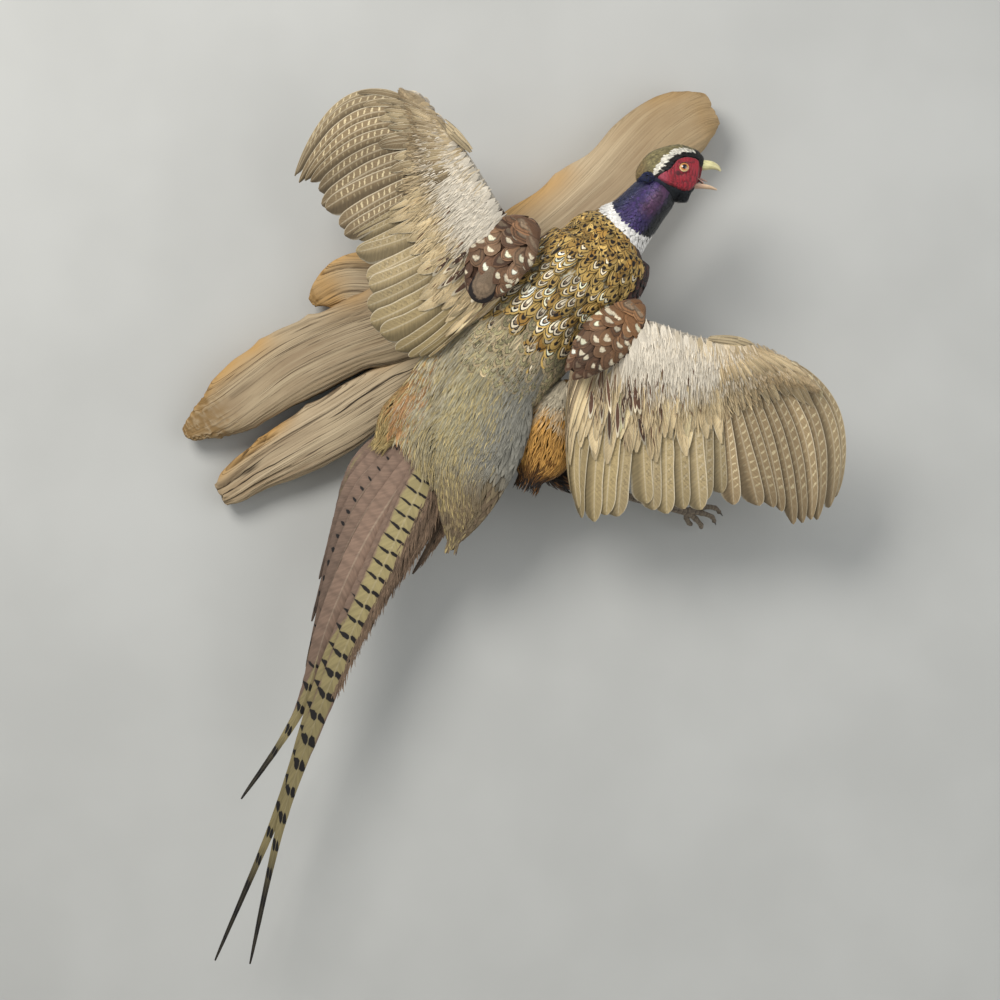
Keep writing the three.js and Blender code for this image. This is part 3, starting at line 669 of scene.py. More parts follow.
class Wire:
    """A node's output. + - * / ** and abs() on it draw Math nodes, and give their outputs."""

    def __init__(self, graph, socket):
        self.graph, self.socket = graph, socket

    def __abs__(self):
        return self.graph.math("ABSOLUTE", self)


for sign_, operation_ in (("add", "ADD"), ("sub", "SUBTRACT"), ("mul", "MULTIPLY"), ("truediv", "DIVIDE"),
                          ("pow", "POWER")):
    setattr(Wire, f"__{sign_}__", lambda a, b, operation=operation_: a.graph.math(operation, a, b))
    setattr(Wire, f"__r{sign_}__", lambda a, b, operation=operation_: a.graph.math(operation, b, a))


class Graph:
    """Short calls for drawing a node tree: values are numbers, tuples, '#rrggbb' colours and wires."""

    def __init__(self, tree):
        self.tree = tree

    def feed(self, socket, value):
        value = paint(value) if isinstance(value, str) else value
        if isinstance(value, Wire):
            self.tree.links.new(value.socket, socket)
        elif np.ndim(value) == 1 and len(value) == 3 and socket.type == "RGBA":
            socket.default_value = (*value, 1)
        else:
            socket.default_value = value

    def node(self, kind, inputs=(), output=0, **settings):
        """Adds a node and gives the output of that place or name, or all of them for None."""
        node = self.tree.nodes.new("ShaderNode" + kind)
        for key, value in settings.items():
            setattr(node, key, value)
        for key, value in dict(inputs).items():
            self.feed(node.inputs[key], value)
        if output is None:
            return [Wire(self, socket) for socket in node.outputs]
        return Wire(self, node.outputs[output])

    def math(self, operation, *values):
        return self.node("Math", enumerate(values), operation=operation)

    def over(self, colour, *layers):
        """Lays colours over the first one in turn, each as far as its own factor says."""
        for factor, upper in layers:
            colour = self.node("Mix", {0: factor, 6: colour, 7: upper}, 2, data_type="RGBA")
        return colour

    def ramp(self, value, low, high, to_low=0, to_high=1):
        """Eased from to_low at low to to_high at high."""
        return self.node("MapRange", enumerate((value, low, high, to_low, to_high)),
                         interpolation_type="SMOOTHSTEP")

    def fall(self, value, low, high):
        return self.ramp(value, low, high, 1, 0)

    def split(self, vector):
        return self.node("SeparateXYZ", {0: vector}, None)

    def place(self):
        return self.node("TexCoord", output="Object")

    def stretched(self, vector, scale):
        return self.node("Mapping", {"Vector": vector, "Scale": scale})

    def noise(self, vector, scale, detail=2, rough=0.5):
        return self.node("TexNoise", {"Vector": vector, "Scale": scale, "Detail": detail, "Roughness": rough},
                         "Fac")

    def attribute(self, name, output="Vector"):
        return self.node("Attribute", output=output, attribute_name=name)

    def tint(self, colour, amount):
        """A colour made lighter or darker by a factor."""
        return self.node("VectorMath", {0: colour, "Scale": amount}, operation="SCALE")


def group(name, inputs, outputs, draw):
    """A shader node group; draw(graph, *inputs) returns its outputs in order."""
    tree = bpy.data.node_groups.new(name, "ShaderNodeTree")
    for way, sockets in (("INPUT", inputs), ("OUTPUT", outputs)):
        for label, kind in sockets.items():
            tree.interface.new_socket(name=label, in_out=way, socket_type="NodeSocket" + kind)
    g = Graph(tree)
    given, result = (tree.nodes.new(kind) for kind in ("NodeGroupInput", "NodeGroupOutput"))
    for socket, value in zip(result.inputs, draw(g, *[Wire(g, s) for s in given.outputs[:len(inputs)]])):
        g.feed(socket, value)
    return tree


TURN = 6.2832


def draw_barbs(g, across, along, barbs, slant):
    """Fine lines slanting from the shaft to the edges, and the shaft as a low ridge."""
    away = abs(across)
    line = along * barbs - away * (barbs * slant)
    wave = g.math("SINE", line * TURN)
    clump = g.noise(g.node("CombineXYZ", {0: line * 0.35, 1: away}), 1)
    shaft = g.fall(away, 0.03, 0.1)
    return g.ramp(clump, 0.3, 0.7, 0.86, 1.1) + wave * 0.03, wave * 0.35 + clump * 1.2 + shaft * 2, shaft


BARBS = group("barbs", dict.fromkeys(("Across", "Along", "Barbs", "Slant"), "Float"),
              dict.fromkeys(("Shade", "Height", "Shaft"), "Float"), draw_barbs)


def feather_marks(name, barbs, slant, draw):
    """A group for the marks of one kind of feather over its barbs: u runs across the vane from -1 to 1,
    v along it from 0 to 1. draw(graph, feather) gives the colour and how light it is."""
    def whole(g, vane, place, core, band, rim, ink, marks, fine):
        x, v, _ = g.split(vane)
        u = x * 2 - 1
        shade, height, shaft = g.node(
            "Group", {"Across": u, "Along": v, "Barbs": barbs, "Slant": slant}, None, node_tree=BARBS)
        colour, light = draw(g, SimpleNamespace(
            u=u, v=v, away=abs(u), vane=vane, place=place, core=core, band=band, rim=rim, ink=ink,
            marks=g.split(marks), fine=g.split(fine), shade=shade, shaft=shaft))
        return g.tint(colour, light), height
    return group(name, {"Vane": "Vector", "Place": "Vector", "Core": "Color", "Band": "Color", "Rim": "Color",
                        "Ink": "Color", "Marks": "Vector", "Fine": "Vector"},
                 {"Color": "Color", "Height": "Float"}, whole)


def contour(g, f):
    """Marks of a body feather. A ring value is 0 on the shaft and 1 at the sides and tip, so that equal
    values make U shapes: core inside marks.x, rim outside marks.y, ink lines of strength marks.z between
    them, an ink spot of size fine.x at the tip and fine wavy lines of strength fine.y."""
    inner, outer, strength = f.marks
    wander = g.noise(f.place, 420) - 0.5
    tip = g.math("MAXIMUM", 0, (f.v - 0.5) / 0.5)
    ring = g.math("SQRT", f.away ** 2 + tip ** 2) + wander * 0.22
    core = g.fall(ring - inner, -0.05, 0.05) * g.ramp(f.v + wander * 0.2 - inner * 0.5, 0.24, 0.32)
    line = g.math("MAXIMUM", g.fall(abs(ring - inner), 0.05, 0.11),
                  g.fall(abs(ring - outer), 0.05, 0.1)) * strength
    reach = g.math("SQRT", (f.away * 0.8) ** 2 + ((1 - f.v) * 2.1) ** 2)
    spot = g.fall(reach + wander * 0.2 - f.fine[0], -0.07, 0.03)
    waves = g.ramp(g.math("SINE", ring * 42 + wander * 26), 0, 0.7) * (f.fine[1] * 0.75)
    colour = g.over(f.band, (core, f.core), (g.ramp(ring - outer, -0.05, 0.05), f.rim), (waves, f.ink),
                    (g.math("MAXIMUM", line, spot), f.ink))
    return colour, f.shade * g.ramp(f.fine[2], 0, 1, 0.82, 1.16)


def flight(g, f):
    """Marks of a flight feather: pale bars on both webs, broken or marbled, with pale edges, and painted
    shadow on the inner web where the next feather in lies over it. marks = how many bars, their strength,
    marbling; fine = edge strength (which also lightens the painted shadow), bars' start, shade."""
    many, strength, marbled = f.marks
    pale, start, light = f.fine
    wander, ruffle = g.noise(f.place, 150, 3) - 0.5, g.noise(f.place, 700) - 0.5
    wave = g.math("SINE", (f.v * many + (f.u * 0.55 + wander * 0.7)) * TURN) + ruffle * 0.9
    window = g.math("MAXIMUM", g.ramp(f.u, 0.08, 0.2) * g.fall(f.u, 0.66, 0.85),
                    g.ramp(f.u, -0.42, -0.34) * g.ramp(f.u, -0.2, -0.1, 0.4, 0))
    window = window * g.ramp(f.v, start - 0.1, start) * g.fall(f.v, 0.82, 0.93)
    marble = g.noise(g.stretched(f.vane, (5, 46, 1)), 1, 3, 0.6)
    marble = g.ramp(marble + ruffle * 0.25, 0.5, 0.6) * (window * marbled)
    colour = g.over(f.core, (marble, g.tint(f.core, 0.55)),
                    (g.ramp(wave, 0.55, 0.9) * window * strength, f.band),
                    (g.ramp(f.away, 0.82, 0.95) * pale, f.rim), (f.shaft * 0.4, f.rim))
    shade = f.shade * g.ramp(light, 0, 1, 0.86, 1.12)
    # Painted shadow: the inner web is darker where the next feather in overlaps it, less so where the edges
    # are pale.
    shade = shade * g.ramp(f.u, -0.5, 0.05, g.ramp(pale, 0.85, 1, 0.5, 0.8), 1)
    return colour, shade * g.ramp(f.v, 0.75, 1, 1, 0.82)


def long_tail(g, f):
    """Marks of a tail feather. marks.x counts the bars passed from the root; a dark bar crosses each web
    at every whole number and slants back from the shaft. marks.y is how thick bars are, marks.z how much
    of the edge takes the rim's colour; fine.x blackens the tip."""
    passed, broad, rimmed = f.marks
    wander, ruffle = g.noise(f.place, 90, 3) - 0.5, g.noise(f.place, 900) - 0.5
    count = passed + g.math("SIGN", f.u) * 0.07 + (f.u * -0.22 + wander * 0.3)
    off = abs(g.math("FRACT", count) - 0.5)
    thick = broad * (g.ramp(f.away, 0.02, 0.16, 0.3, 1) * g.ramp(f.away, 0.5, 1, 1, 0.3))
    bar = g.fall(off + ruffle * 0.06 - thick, -0.02, 0.025)
    bar = bar * (g.ramp(broad, 0.01, 0.03) * g.ramp(thick, 0.02, 0.05, 0.4, 1))
    fringe = g.ramp(f.away + wander * 0.5, 1 - rimmed, 1.25 - rimmed) * g.ramp(rimmed, 0.02, 0.1)
    colour = g.over(f.core, (fringe, f.rim), (bar, f.ink), (f.fine[0], f.ink), (f.shaft * 0.13, f.band))
    shade = f.shade * g.ramp(f.fine[2], 0, 1, 0.88, 1.1) * g.ramp(f.v, 0.25, 0.7, 1.04, 0.64)
    return colour, shade * g.ramp(off, 0, 0.3, 0.86, 1.03)


CONTOUR = feather_marks("body_feather_marks", 30, 0.4, contour)
FLIGHT = feather_marks("flight_feather_marks", 170, 0.07, flight)
TAIL = feather_marks("tail_feather_marks", 330, 0.03, long_tail)
SHADER_SOCKETS = {"roughness": "Roughness", "specular": "Specular IOR Level", "sheen": "Sheen Weight",
                  "metallic": "Metallic", "coat": "Coat Weight", "coat_roughness": "Coat Roughness",
                  "alpha": "Alpha"}


def finish(name, look, relief=None, **values):
    """A material: look(graph) gives its colour and, where relief gives a strength and a depth in metres,
    the height of its fine relief."""
    material = bpy.data.materials.new(name)
    material.use_nodes = True
    g = Graph(material.node_tree)
    shader = material.node_tree.nodes["Principled BSDF"]
    colour, height = look(g)
    g.feed(shader.inputs["Base Color"], colour)
    for key, value in values.items():
        g.feed(shader.inputs[SHADER_SOCKETS[key]], value(g) if callable(value) else value)
    if relief:
        bump = g.node("Bump", {"Height": height, "Strength": relief[0], "Distance": relief[1]})
        g.feed(shader.inputs["Normal"], bump)
    return material


def feather(name, marks, ink=INK, bump=0.35, roughness=0.62, specular=0.25, sheen=0.1, metallic=0):
    """A feather's look: its marks read the vane's own map and the colours kept on each vane."""
    def look(g):
        values = {"Vane": g.node("UVMap", uv_map="Vane"), "Place": g.place(), "Ink": ink}
        values.update({key: g.attribute(key.lower(), "Color") for key in ("Core", "Band", "Rim")})
        values.update({key: g.attribute(key.lower()) for key in ("Marks", "Fine")})
        return g.node("Group", values, None, node_tree=marks)
    return finish(name, look, (bump, 0.00025), roughness=roughness, specular=specular, sheen=sheen,
                  metallic=metallic)


def mottled(tones, scale, stretch=(1, 1, 1)):
    """A look mottled between three colours, read from the place on the object."""
    def look(g):
        place = g.stretched(g.place(), stretch)
        broad, fine = g.noise(place, scale, 3), g.noise(place, scale * 5, 4, 0.6)
        layers = (g.ramp(broad, 0.35, 0.65), tones[1]), (g.ramp(fine, 0.5, 0.75), tones[2])
        return g.over(tones[0], *layers), fine
    return look


def skin_look(g):
    """Skin and down under the feathers: each point's own colour, broken up by soft strands."""
    soft = g.noise(g.stretched(g.place(), (260, 260, 90)), 3, 4, 0.65)
    return g.tint(g.attribute("tone", "Color"), g.ramp(soft, 0.3, 0.7, 0.55, 1.15)), soft


def wood_look(g, cracked):
    """Weathered wood: tan-grey with darker grain lines, orange-tan upper edges and cracks painted near black
    as shade in them, as many and as dark as `cracked` says; lighter towards the right, darker towards the
    left."""
    grain, place = g.node("UVMap", uv_map="Grain"), g.place()
    crack, orange, dark = g.split(g.attribute("weathering_and_shade"))

    def lines(along, across, detail, rough=0.5):
        return g.noise(g.stretched(grain, (along, across, 1)), 1, detail, rough)

    broad = g.noise(place, 14, 3)
    streak, fibre = lines(5, 120, 6, 0.65), lines(16, 900, 4, 0.6)
    leftward = g.ramp(g.split(place)[0], 0.04, -0.12)
    lane = g.split(grain)[1] / 0.011 + lines(9, 45, 3) * 1.8
    opened = g.fall(abs(g.math("FRACT", lane) - 0.5), 0.02, 0.075) * g.ramp(lines(10, 90, 2), 0.5, 0.6)
    opened = opened * (leftward * cracked)
    hair = g.fall(abs(lines(3, 260, 3) - 0.5), 0.006, 0.02)
    hair = hair * g.ramp(streak, 0.42, 0.55) * g.ramp(leftward, 0, 1, 0.35, 1)
    colour = g.over("#bba788", (g.ramp(broad, 0.35, 0.65), "#a38e72"), (g.ramp(streak, 0.35, 0.7), "#c8b595"))
    # Lighter towards the right end, darker towards the left.
    colour = g.tint(colour, g.ramp(leftward, 0, 1, 1.13, 0.84 + 0.16 * cracked))
    # Painted shade: the cracks, carved in the mesh and opened here, are painted near black; the dark channel
    # darkens the bark, the flutes' hollows and the ends.
    colour = g.over(colour, (orange * g.ramp(broad, 0.25, 0.6, 0.35, 1), "#c2985c"),
                    (g.ramp(fibre, 0.52, 0.72, 0, 0.55), "#7a664a"), (hair * 0.75, "#4a3826"),
                    (dark, "#86693f"), (g.math("MAXIMUM", crack, opened) * 0.93, "#20170f"))
    return colour, fibre * 0.5 + streak - (hair + opened * 2)


def eye_look(g):
    """A dark pupil a little up and forward, and an orange iris brighter at its rim."""
    x, _, z = g.split(g.place())
    dx, dz = (value - (EYE_AT[k] + PUPIL_SHIFT[k]) * MM for k, value in enumerate((x, z)))
    away = g.math("SQRT", dx * dx + dz * dz) / MM
    rays = g.noise(g.node("CombineXYZ", {0: g.math("ARCTAN2", dx, dz) * 9, 1: away * 0.6}), 1, 3)
    colour = g.over("#8a4a1a", (g.ramp(away, PUPIL_RADIUS - 0.1, PUPIL_RADIUS + 1.1), "#cf8a42"),
                    (g.ramp(away, PUPIL_RADIUS + 0.9, PUPIL_RADIUS + 2), "#e8c68e"))
    colour = g.tint(colour, g.ramp(rays, 0.3, 0.7, 0.82, 1.12))
    return g.over("#050303", (g.ramp(away, PUPIL_RADIUS - 0.15, PUPIL_RADIUS + 0.1), colour),
                  (g.ramp(away, 4.5, 5), "#2a1512")), None


def wattle_look(g):
    """Bare red skin in upright folds: painted shade in the valleys, velvety on the ridges, black feather
    marks below the eye, and painted shade round the lid and at the rim.
    """
    ridge, dark, pink = g.split(g.attribute("fold"))
    bead = g.noise(g.stretched(g.place(), (1, 1, 0.55)), 900, 3, 0.6)
    return g.over("#4a0812", (ridge, "#951828"), (g.ramp(bead, 0.5, 0.75, 0, 0.4), "#b83a42"),
                  (pink, "#a8485a"), (dark, "#1b0e12")), bead


def bill_look(root, middle, tip):
    """Horn that pales from its root to its tip, with faint lines along it."""
    def look(g):
        place = g.place()
        ahead = g.split(place)[0] / MM
        lines = g.noise(g.stretched(place, (0.3, 1.4, 1.4)), 700, 3)
        colour = g.over(root, (g.ramp(ahead, 182, 190), middle), (g.ramp(ahead, 190, 201), tip))
        return g.tint(colour, g.ramp(lines, 0.3, 0.7, 0.85, 1.08)), lines
    return look


def leg_look(g):
    """Grey-brown scutes, dark in the joins between them."""
    mottle = g.noise(g.place(), 500, 3)
    scute = g.over("#6b5f52", (g.ramp(mottle, 0.3, 0.7), "#8b7d6a"))
    return g.over("#2f2821", (g.split(g.attribute("plate"))[0], scute)), mottle


def plaster_look(g):
    return g.over("#b9b9b5", (g.ramp(g.noise(g.place(), 5, 3), 0.3, 0.7), "#c0c0bc")), None


# ---- markings of the body

# Where the white ring begins and ends up the neck; lines of the brow and the lore, x and z; for each wing
# how often a covert is a maroon streak and how light the brown of the hand is, painted lighter on the
# right wing and darker on the left as light and shade.
RING = (0.25, 0.47)
BROW_BREADTH = (142, 150, 165, 183), (1.4, 3.3, 2.6, 0.8)
BROW_LINE = np.array([[142, 47.5], [144, 50], [153, 60], [160, 66.6], [169, 69.2], [177, 68.3], [183, 65]])
LORE_LINE = np.array([[142.6, 44.6], [152.9, 53], [159.5, 60.5], [168.9, 65.2], [180.1, 63.3], [184.8, 55.8]])
COVERT_LOOK = {"left": (0.03, 0.84), "right": (0.13, 1.28)}


def layered(colour, *layers):
    """Blends colours over the first one in turn, each by its own share."""
    for other, share in layers:
        colour = blend(colour, other, share)
    return colour


def chance(rng, share):
    return rng.uniform(0, 1, len(share)) < share


def rows_of(n, core, band=None, rim=None, marks=(-1, 3, 0), fine=(-1, 0, 0.5)):
    """Colours and marks as one row a vane; a missing colour is the core's."""
    band = core if band is None else band
    values = zip(TONES, (core, band, band if rim is None else rim, marks, fine))
    return {key: np.array(np.broadcast_to(value, (n, 3)), float) for key, value in values}


def swap(tones, mask, *row):
    """Gives the vanes where the mask is true another row of colours and marks."""
    other = rows_of(len(mask), *row)
    return {key: np.where(mask[:, None], other[key], tones[key]) for key in TONES}


def some(tones, rng, share, *row):
    """Swaps by chance: a share from 0 to 1 for every vane."""
    return swap(tones, chance(rng, share), *row)


def vary(tones, rng, amount=0.14):
    """Makes every vane a little lighter or darker than its neighbours."""
    n = len(tones["core"])
    factor = np.exp(rng.normal(0, amount, n))[:, None]
    for key in ("core", "band", "rim"):
        tones[key] = np.clip(tones[key] * factor, 0, 0.9)
    tones["fine"][:, 2] = rng.uniform(0, 1, n)
    return tones


def mantle_tones(t, a, rng):
    """Gold with black tips; lower down more and more feathers have a cream ring edged with black, then
    plain ones follow. Maroon at the edges of the breast, dark under the belly."""
    n = len(t)
    gold = blend(GOLD, DEEP_GOLD, rng.uniform(0, 1, n) ** 2)
    tones = rows_of(n, INK * 1.5, gold, gold * 0.9, (0.3, 0.8, 0.85), (0.42, 0.1, 0))
    tones["marks"][:, 0] = rng.uniform(0.14, 0.4, n)
    tones["fine"][:, 0] = rng.uniform(0.2, 0.55, n)
    tones = some(tones, rng, 0.65 * step(t, 0.14, 0.4),
                 TAUPE * 0.95, CREAM * 1.15, GOLD * 0.9, (0.34, 0.74, 1), (-1, 0, 0))
    tones = some(tones, rng, step(t, 0.43, 0.54),
                 WARM_BUFF * 0.92, OLIVE * 1.45, WARM_BUFF * 0.85, (0.3, 0.75, 0.5), (-1, 0.9, 0))
    edge = np.maximum.reduce([step(-np.cos(a), 0.78, 0.9) * step(t, 0.36, 0.26), step(-np.sin(a), -0.1, 0.15),
                              step(np.cos(a), 0.9, 0.97) * step(t, 0.2, 0.3)])
    tones = some(tones, rng, edge, MAROON, COPPER, INK, (0.4, 0.82, 0.3), (0.22, 0, 0))
    tones = some(tones, rng, step(-np.sin(a), 0.1, 0.4) * step(t, 0.3, 0.45),
                 THIGH, THIGH * 0.8, INK, (0.5, 0.9, 0.1))
    return vary(tones, rng, 0.22)


def back_colour(points, rng):
    """Slate on the right, grey-olive in the middle, blue-grey then rufous on the left; gold streaks, and
    buff at the waist."""
    down, side = on_back(points)
    side = side + 0.12 * rng.normal(size=len(side))
    down = down + 0.03 * rng.normal(size=len(side))
    return layered(
        SLATE, (RUMP_GREEN, step(side, -0.8, 0.1)),
        (PALE_RUMP, 0.9 * step(side, 0.15, 0.6) * step(down, 0.7, 0.35)),
        (WARM_BUFF * 0.8, 0.85 * step(down, 0.16, 0)), (LOW_RUMP, 0.95 * step(down, 0.4, 0.75)),
        (STREAK, 0.7 * chance(rng, 0.34 * step(side, -0.9, -0.3) * step(down, 0.02, 0.25))),
        (RUFOUS, 0.75 * chance(rng, 0.85 * step(side, 0.6, 0.9) * step(down, 0.26, 0.36)
                               * step(down, 0.66, 0.5))),
        (FRINGE_BROWN * 0.7, 0.6 * chance(rng, 0.5 * step(down, 0.6, 0.85))))


def neck_tones(t, a, rng):
    """Gold, then the white ring, then navy at the nape, violet at the side and black at the throat."""
    n = len(t)
    gold = blend(GOLD, DEEP_GOLD, rng.uniform(0, 1, n) ** 2)
    tones = rows_of(n, INK * 1.5, gold, gold * 0.9, (0.25, 0.85, 0.6), (0.5, 0.1, 0))
    tones = some(tones, rng, np.maximum(step(np.cos(a), 0.75, 0.92), step(-np.sin(a), 0, 0.2)),
                 MAROON, COPPER, INK, (0.4, 0.8, 0.3))
    throat = step(np.cos(a), 0.45, 0.8)
    nape = np.maximum(step(-np.cos(a), 0.3, 0.75), 0.35 + 0.3 * rng.uniform(-1, 1, n))
    plum = step(t, 0.6, 0.75) * step(np.cos(a), -0.3, 0.2) * (1 - throat)
    dark = layered(VIOLET, (NAVY, nape), (PLUM, 0.8 * plum),
                   (BLACK_GREEN, np.maximum(throat, step(-np.sin(a), -0.2, 0.3))))
    tones = swap(tones, t + 0.01 * rng.normal(size=n) > RING[0], WHITE, WHITE, WHITE * 0.93)
    high = t + 0.008 * rng.normal(size=n) > RING[1]
    ring = (tones["band"] == WHITE).all(1) & ~high
    tones = vary(swap(tones, high, dark, dark, dark * 0.7, (0.4, 0.8, 0.1)), rng, 0.12)
    tones["core"][ring] = tones["band"][ring] = tones["rim"][ring] = WHITE
    return tones


def line_gap(points, line):
    """How far points of a plane lie from a broken line, and how far above it (in z)."""
    gap, above = np.full(len(points), 1e9), np.zeros(len(points))
    for p, q in zip(line[:-1], line[1:]):
        along = q - p
        f = np.clip(((points - p) @ along) / (along @ along), 0, 1)
        offset = points - (p + f[:, None] * along)
        distance = np.hypot(*offset.T)
        above = np.where(distance < gap, offset[:, 1], above)
        gap = np.minimum(gap, distance)
    return gap, above


def head_colour(points, rng):
    """Olive crown, white brow, a black line and forehead, black-green cheek and throat, navy ear."""
    flat = points[:, [0, 2]] + rng.normal(0, 0.35, (len(points), 2))
    x, z = flat.T
    brow, above = line_gap(flat, BROW_LINE)
    lore, _ = line_gap(flat, LORE_LINE)
    crown = layered(CROWN_OLIVE, (CROWN_OLIVE * 0.7, rng.uniform(0, 1, len(x))),
                    (RUFOUS * 0.5, 0.35 * step(x, 140, 130)))
    cheek = layered(BLACK_GREEN, (NAVY, 0.5 * step(x, 158, 140)),
                    (NAVY, step(np.hypot(x - 133, z - 43.6), 9, 5)))
    colour = np.where(((above > 0) | (x < 137) & (z > 47))[:, None], crown, cheek)
    for mask, over in ((lore < 1.7, INK), (brow < np.interp(x, *BROW_BREADTH), BROW),
                       ((x > 179.5 + 0.12 * (68 - z)) & (z > 50), INK),
                       ((x > 176) & (np.abs(z - 46.5) < 7.5), GAPE_RED)):
        colour = np.where(mask[:, None], over, colour)
    return colour


def covert_colour(q, t, rng, side):
    """Silky grey-beige, warmer along the front edge, golden buff at the inner rear and brown towards the
    hand, that brown painted lighter on the right wing than on the left as light and shade; a few maroon
    ones near the shoulder."""
    n = len(q)
    streaks, pale = COVERT_LOOK[side]
    q, t = q + 0.07 * rng.normal(size=n), t + 0.05 * rng.normal(size=n)
    front = step(t, 0.16, 0) * step(q, 0.3, 0.5)
    colour = layered(
        blend(PALE_GREY, WARM_BUFF, np.maximum(front, 0.9 * step(q, 0.5, 0.78))) * 1.08,
        (WARM_BUFF * 1.05, step(t, 0.38, 0.64) * step(q, 0.8, 0.5)),
        # The hand's brown: painted light on the right wing, painted shade on the left.
        (PRIMARY * pale, step(q, 0.38, 0.7) * (0.75 + 0.25 * step(t, 0.15, 0.45))),
        (FRINGE_BROWN, 3 * streaks * step(t, 0.35, 0.55) * step(q, 0.3, 0.18)))
    streak = streaks * step(t, 0.3, 0.45) * step(q, 0.42, 0.28)
    return np.where(chance(rng, streak)[:, None], MAROON * 1.5, colour)


def covert_tones(q, t, rng, side):
    colour = covert_colour(q, t, rng, side)
    return vary(rows_of(len(q), colour * 0.94, colour, colour * 1.08, (0.25, 0.75, 0)), rng, 0.05)


# ---- the skin

# How deep the skin lies under the coat, and the size of a cell when the bodies grow together. Past BARE
# times a body's radius its coat doesn't colour the skin.
SKIN_DEPTH = {"trunk": 4, "neck": 2.2, "head": 1, "coverts": 3, "flank": 3.5, "thigh": 2.5, "pad": 3.5}
SKIN_VOXEL = 0.002
BARE, DOWN_SHADE = 1.35, 0.7
BODIES = [
    (TRUNK, "trunk"), (NECK, "neck"), (HEAD, "head"), (TAIL_COVERTS, "coverts"), (FLANK_RIGHT, "flank"),
    (FLANK_LEFT, "flank"), (THIGH_RIGHT, "thigh"), (THIGH_LEFT, "thigh"),
    (WING["left"]["scapulars"], "pad"), (WING["right"]["scapulars"], "pad"),
]


def arm_core(wing, rows=46, cols=24, inset=2):
    """The flesh of a wing: between the coverts' upper side and the arm's lower face, closed all round."""
    q, t = grid(np.linspace(0, 0.97, rows), np.linspace(0.05, 0.72, cols))
    up, (_, down) = wing_top(wing, q, t), arm_faces(wing, q, t)
    front, rear = up[..., 1] + inset, down[..., 1] - 1
    down[..., 1] = np.maximum(rear, front + 1.6)
    up[..., 1] = front
    return tube(np.concatenate([up, down[:, ::-1]], axis=1))


def build_skin():
    """All the flesh drawn in by the coat's depth and grown together into one surface."""
    parts = [tube(body.at(*round_grid(50, 56), -SKIN_DEPTH[kind])[0]) for body, kind in BODIES]
    parts += [arm_core(wing) for wing in WING.values()]
    points, faces = joined(parts)
    rough = bpy.data.meshes.new("flesh")
    rough.from_pydata((points * MM).tolist(), [], [f.tolist() for group_ in faces for f in group_])
    body = put("flesh", rough)
    remesh = body.modifiers.new("grown together", "REMESH")
    remesh.mode, remesh.voxel_size = "VOXEL", SKIN_VOXEL
    soften = body.modifiers.new("softened", "SMOOTH")
    soften.factor, soften.iterations = 0.5, 4
    grown = body.evaluated_get(bpy.context.evaluated_depsgraph_get()).to_mesh()
    skin = np.empty(len(grown.vertices) * 3, np.float32)
    grown.vertices.foreach_get("co", skin)
    corners = np.empty(len(grown.loops), np.int32)
    grown.loops.foreach_get("vertex_index", corners)
    quads = corners.reshape(-1, 4)
    bpy.data.objects.remove(body)
    points = skin.reshape(-1, 3) / MM
    make_object("skin", points, quads, SKIN_AND_DOWN, "mantle", "trunk", "neck", "head", "tail_coverts",
                "flank_right", "flank_left", "thigh_right", "thigh_left",
                *[f"wing_{side}_{part}" for side in WING for part in ("arm", "scapulars", "alula")],
                "ear_tuft_right", "ear_tuft_left", colours={"tone": skin_colour(points)})


def coat_colour(body, kind, points, t, a, rng):
    """The main colour of the coat over a body."""
    if kind == "trunk":
        return layered(mantle_tones(t, a, rng)["band"], (back_colour(points, rng), step(t, 0.5, 0.58)),
                       (THIGH, step(-np.sin(a), 0.1, 0.5)))
    if kind == "neck":
        return neck_tones(t, a, rng)["band"]
    if kind == "head":
        return head_colour(points, rng)
    if kind == "coverts" or body is FLANK_LEFT:
        return back_colour(points, rng)
    return {"pad": MAROON, "thigh": THIGH, "flank": DEEP_GOLD * 0.7}[kind]


def skin_colour(points):
    """Each point takes the colour of the nearest body's coat, darker, as down is."""
    rng = np.random.default_rng(11)
    colour, best = np.tile(PALE_GREY, (len(points), 1)), np.full(len(points), BARE)
    for body, kind in BODIES:
        t, a, out = body.locate(points)
        colour = np.where((out < best)[:, None], coat_colour(body, kind, points, t, a, rng), colour)
        best = np.minimum(best, out)
    return colour * DOWN_SHADE


# ---- the body's coat

ALL_ROUND = (-np.pi / 2, 1.5 * np.pi)
RUMP_ROOTS = np.array([[20, -85], [-33, -76], [-61, -94], [-104, -150], [-113, -172], [-94, -200],
                       [-64, -236], [-52, -272], [-40, -272], [-13, -231], [18, -184], [46, -128],
                       [61, -109]])
WATTLE = np.array([[142.9, 42.8], [154.4, 51.2], [161.6, 59.6], [171.9, 62.4],
                   [182.6, 58.5], [180, 39.6], [171.6, 31], [161.6, 32.6]])


def outside(surface, roots, others, margin):
    """Keeps the roots that aren't buried in another body."""
    points, _ = surface(roots.t, roots.a)
    return roots.keep(~np.any([body.holds(points, margin) for body in others], axis=0))


def in_outline(x, z, outline):
    """True inside a broken closed line, by how often a level ray crosses it."""
    inside = np.zeros(np.shape(x), bool)
    for (ax, az), (bx, bz) in zip(outline, np.roll(outline, -1, axis=0)):
        inside ^= ((az > z) != (bz > z)) & (x < ax + (z - az) / (bz - az + 1e-9) * (bx - ax))
    return inside


def round_line(corners, n):
    """A smooth closed line through the corners, n points."""
    rows = np.concatenate([corners[-1:], corners, corners[:2]])
    return smooth(rows, (1 + np.arange(n) / n * len(corners)) / (len(rows) - 1))


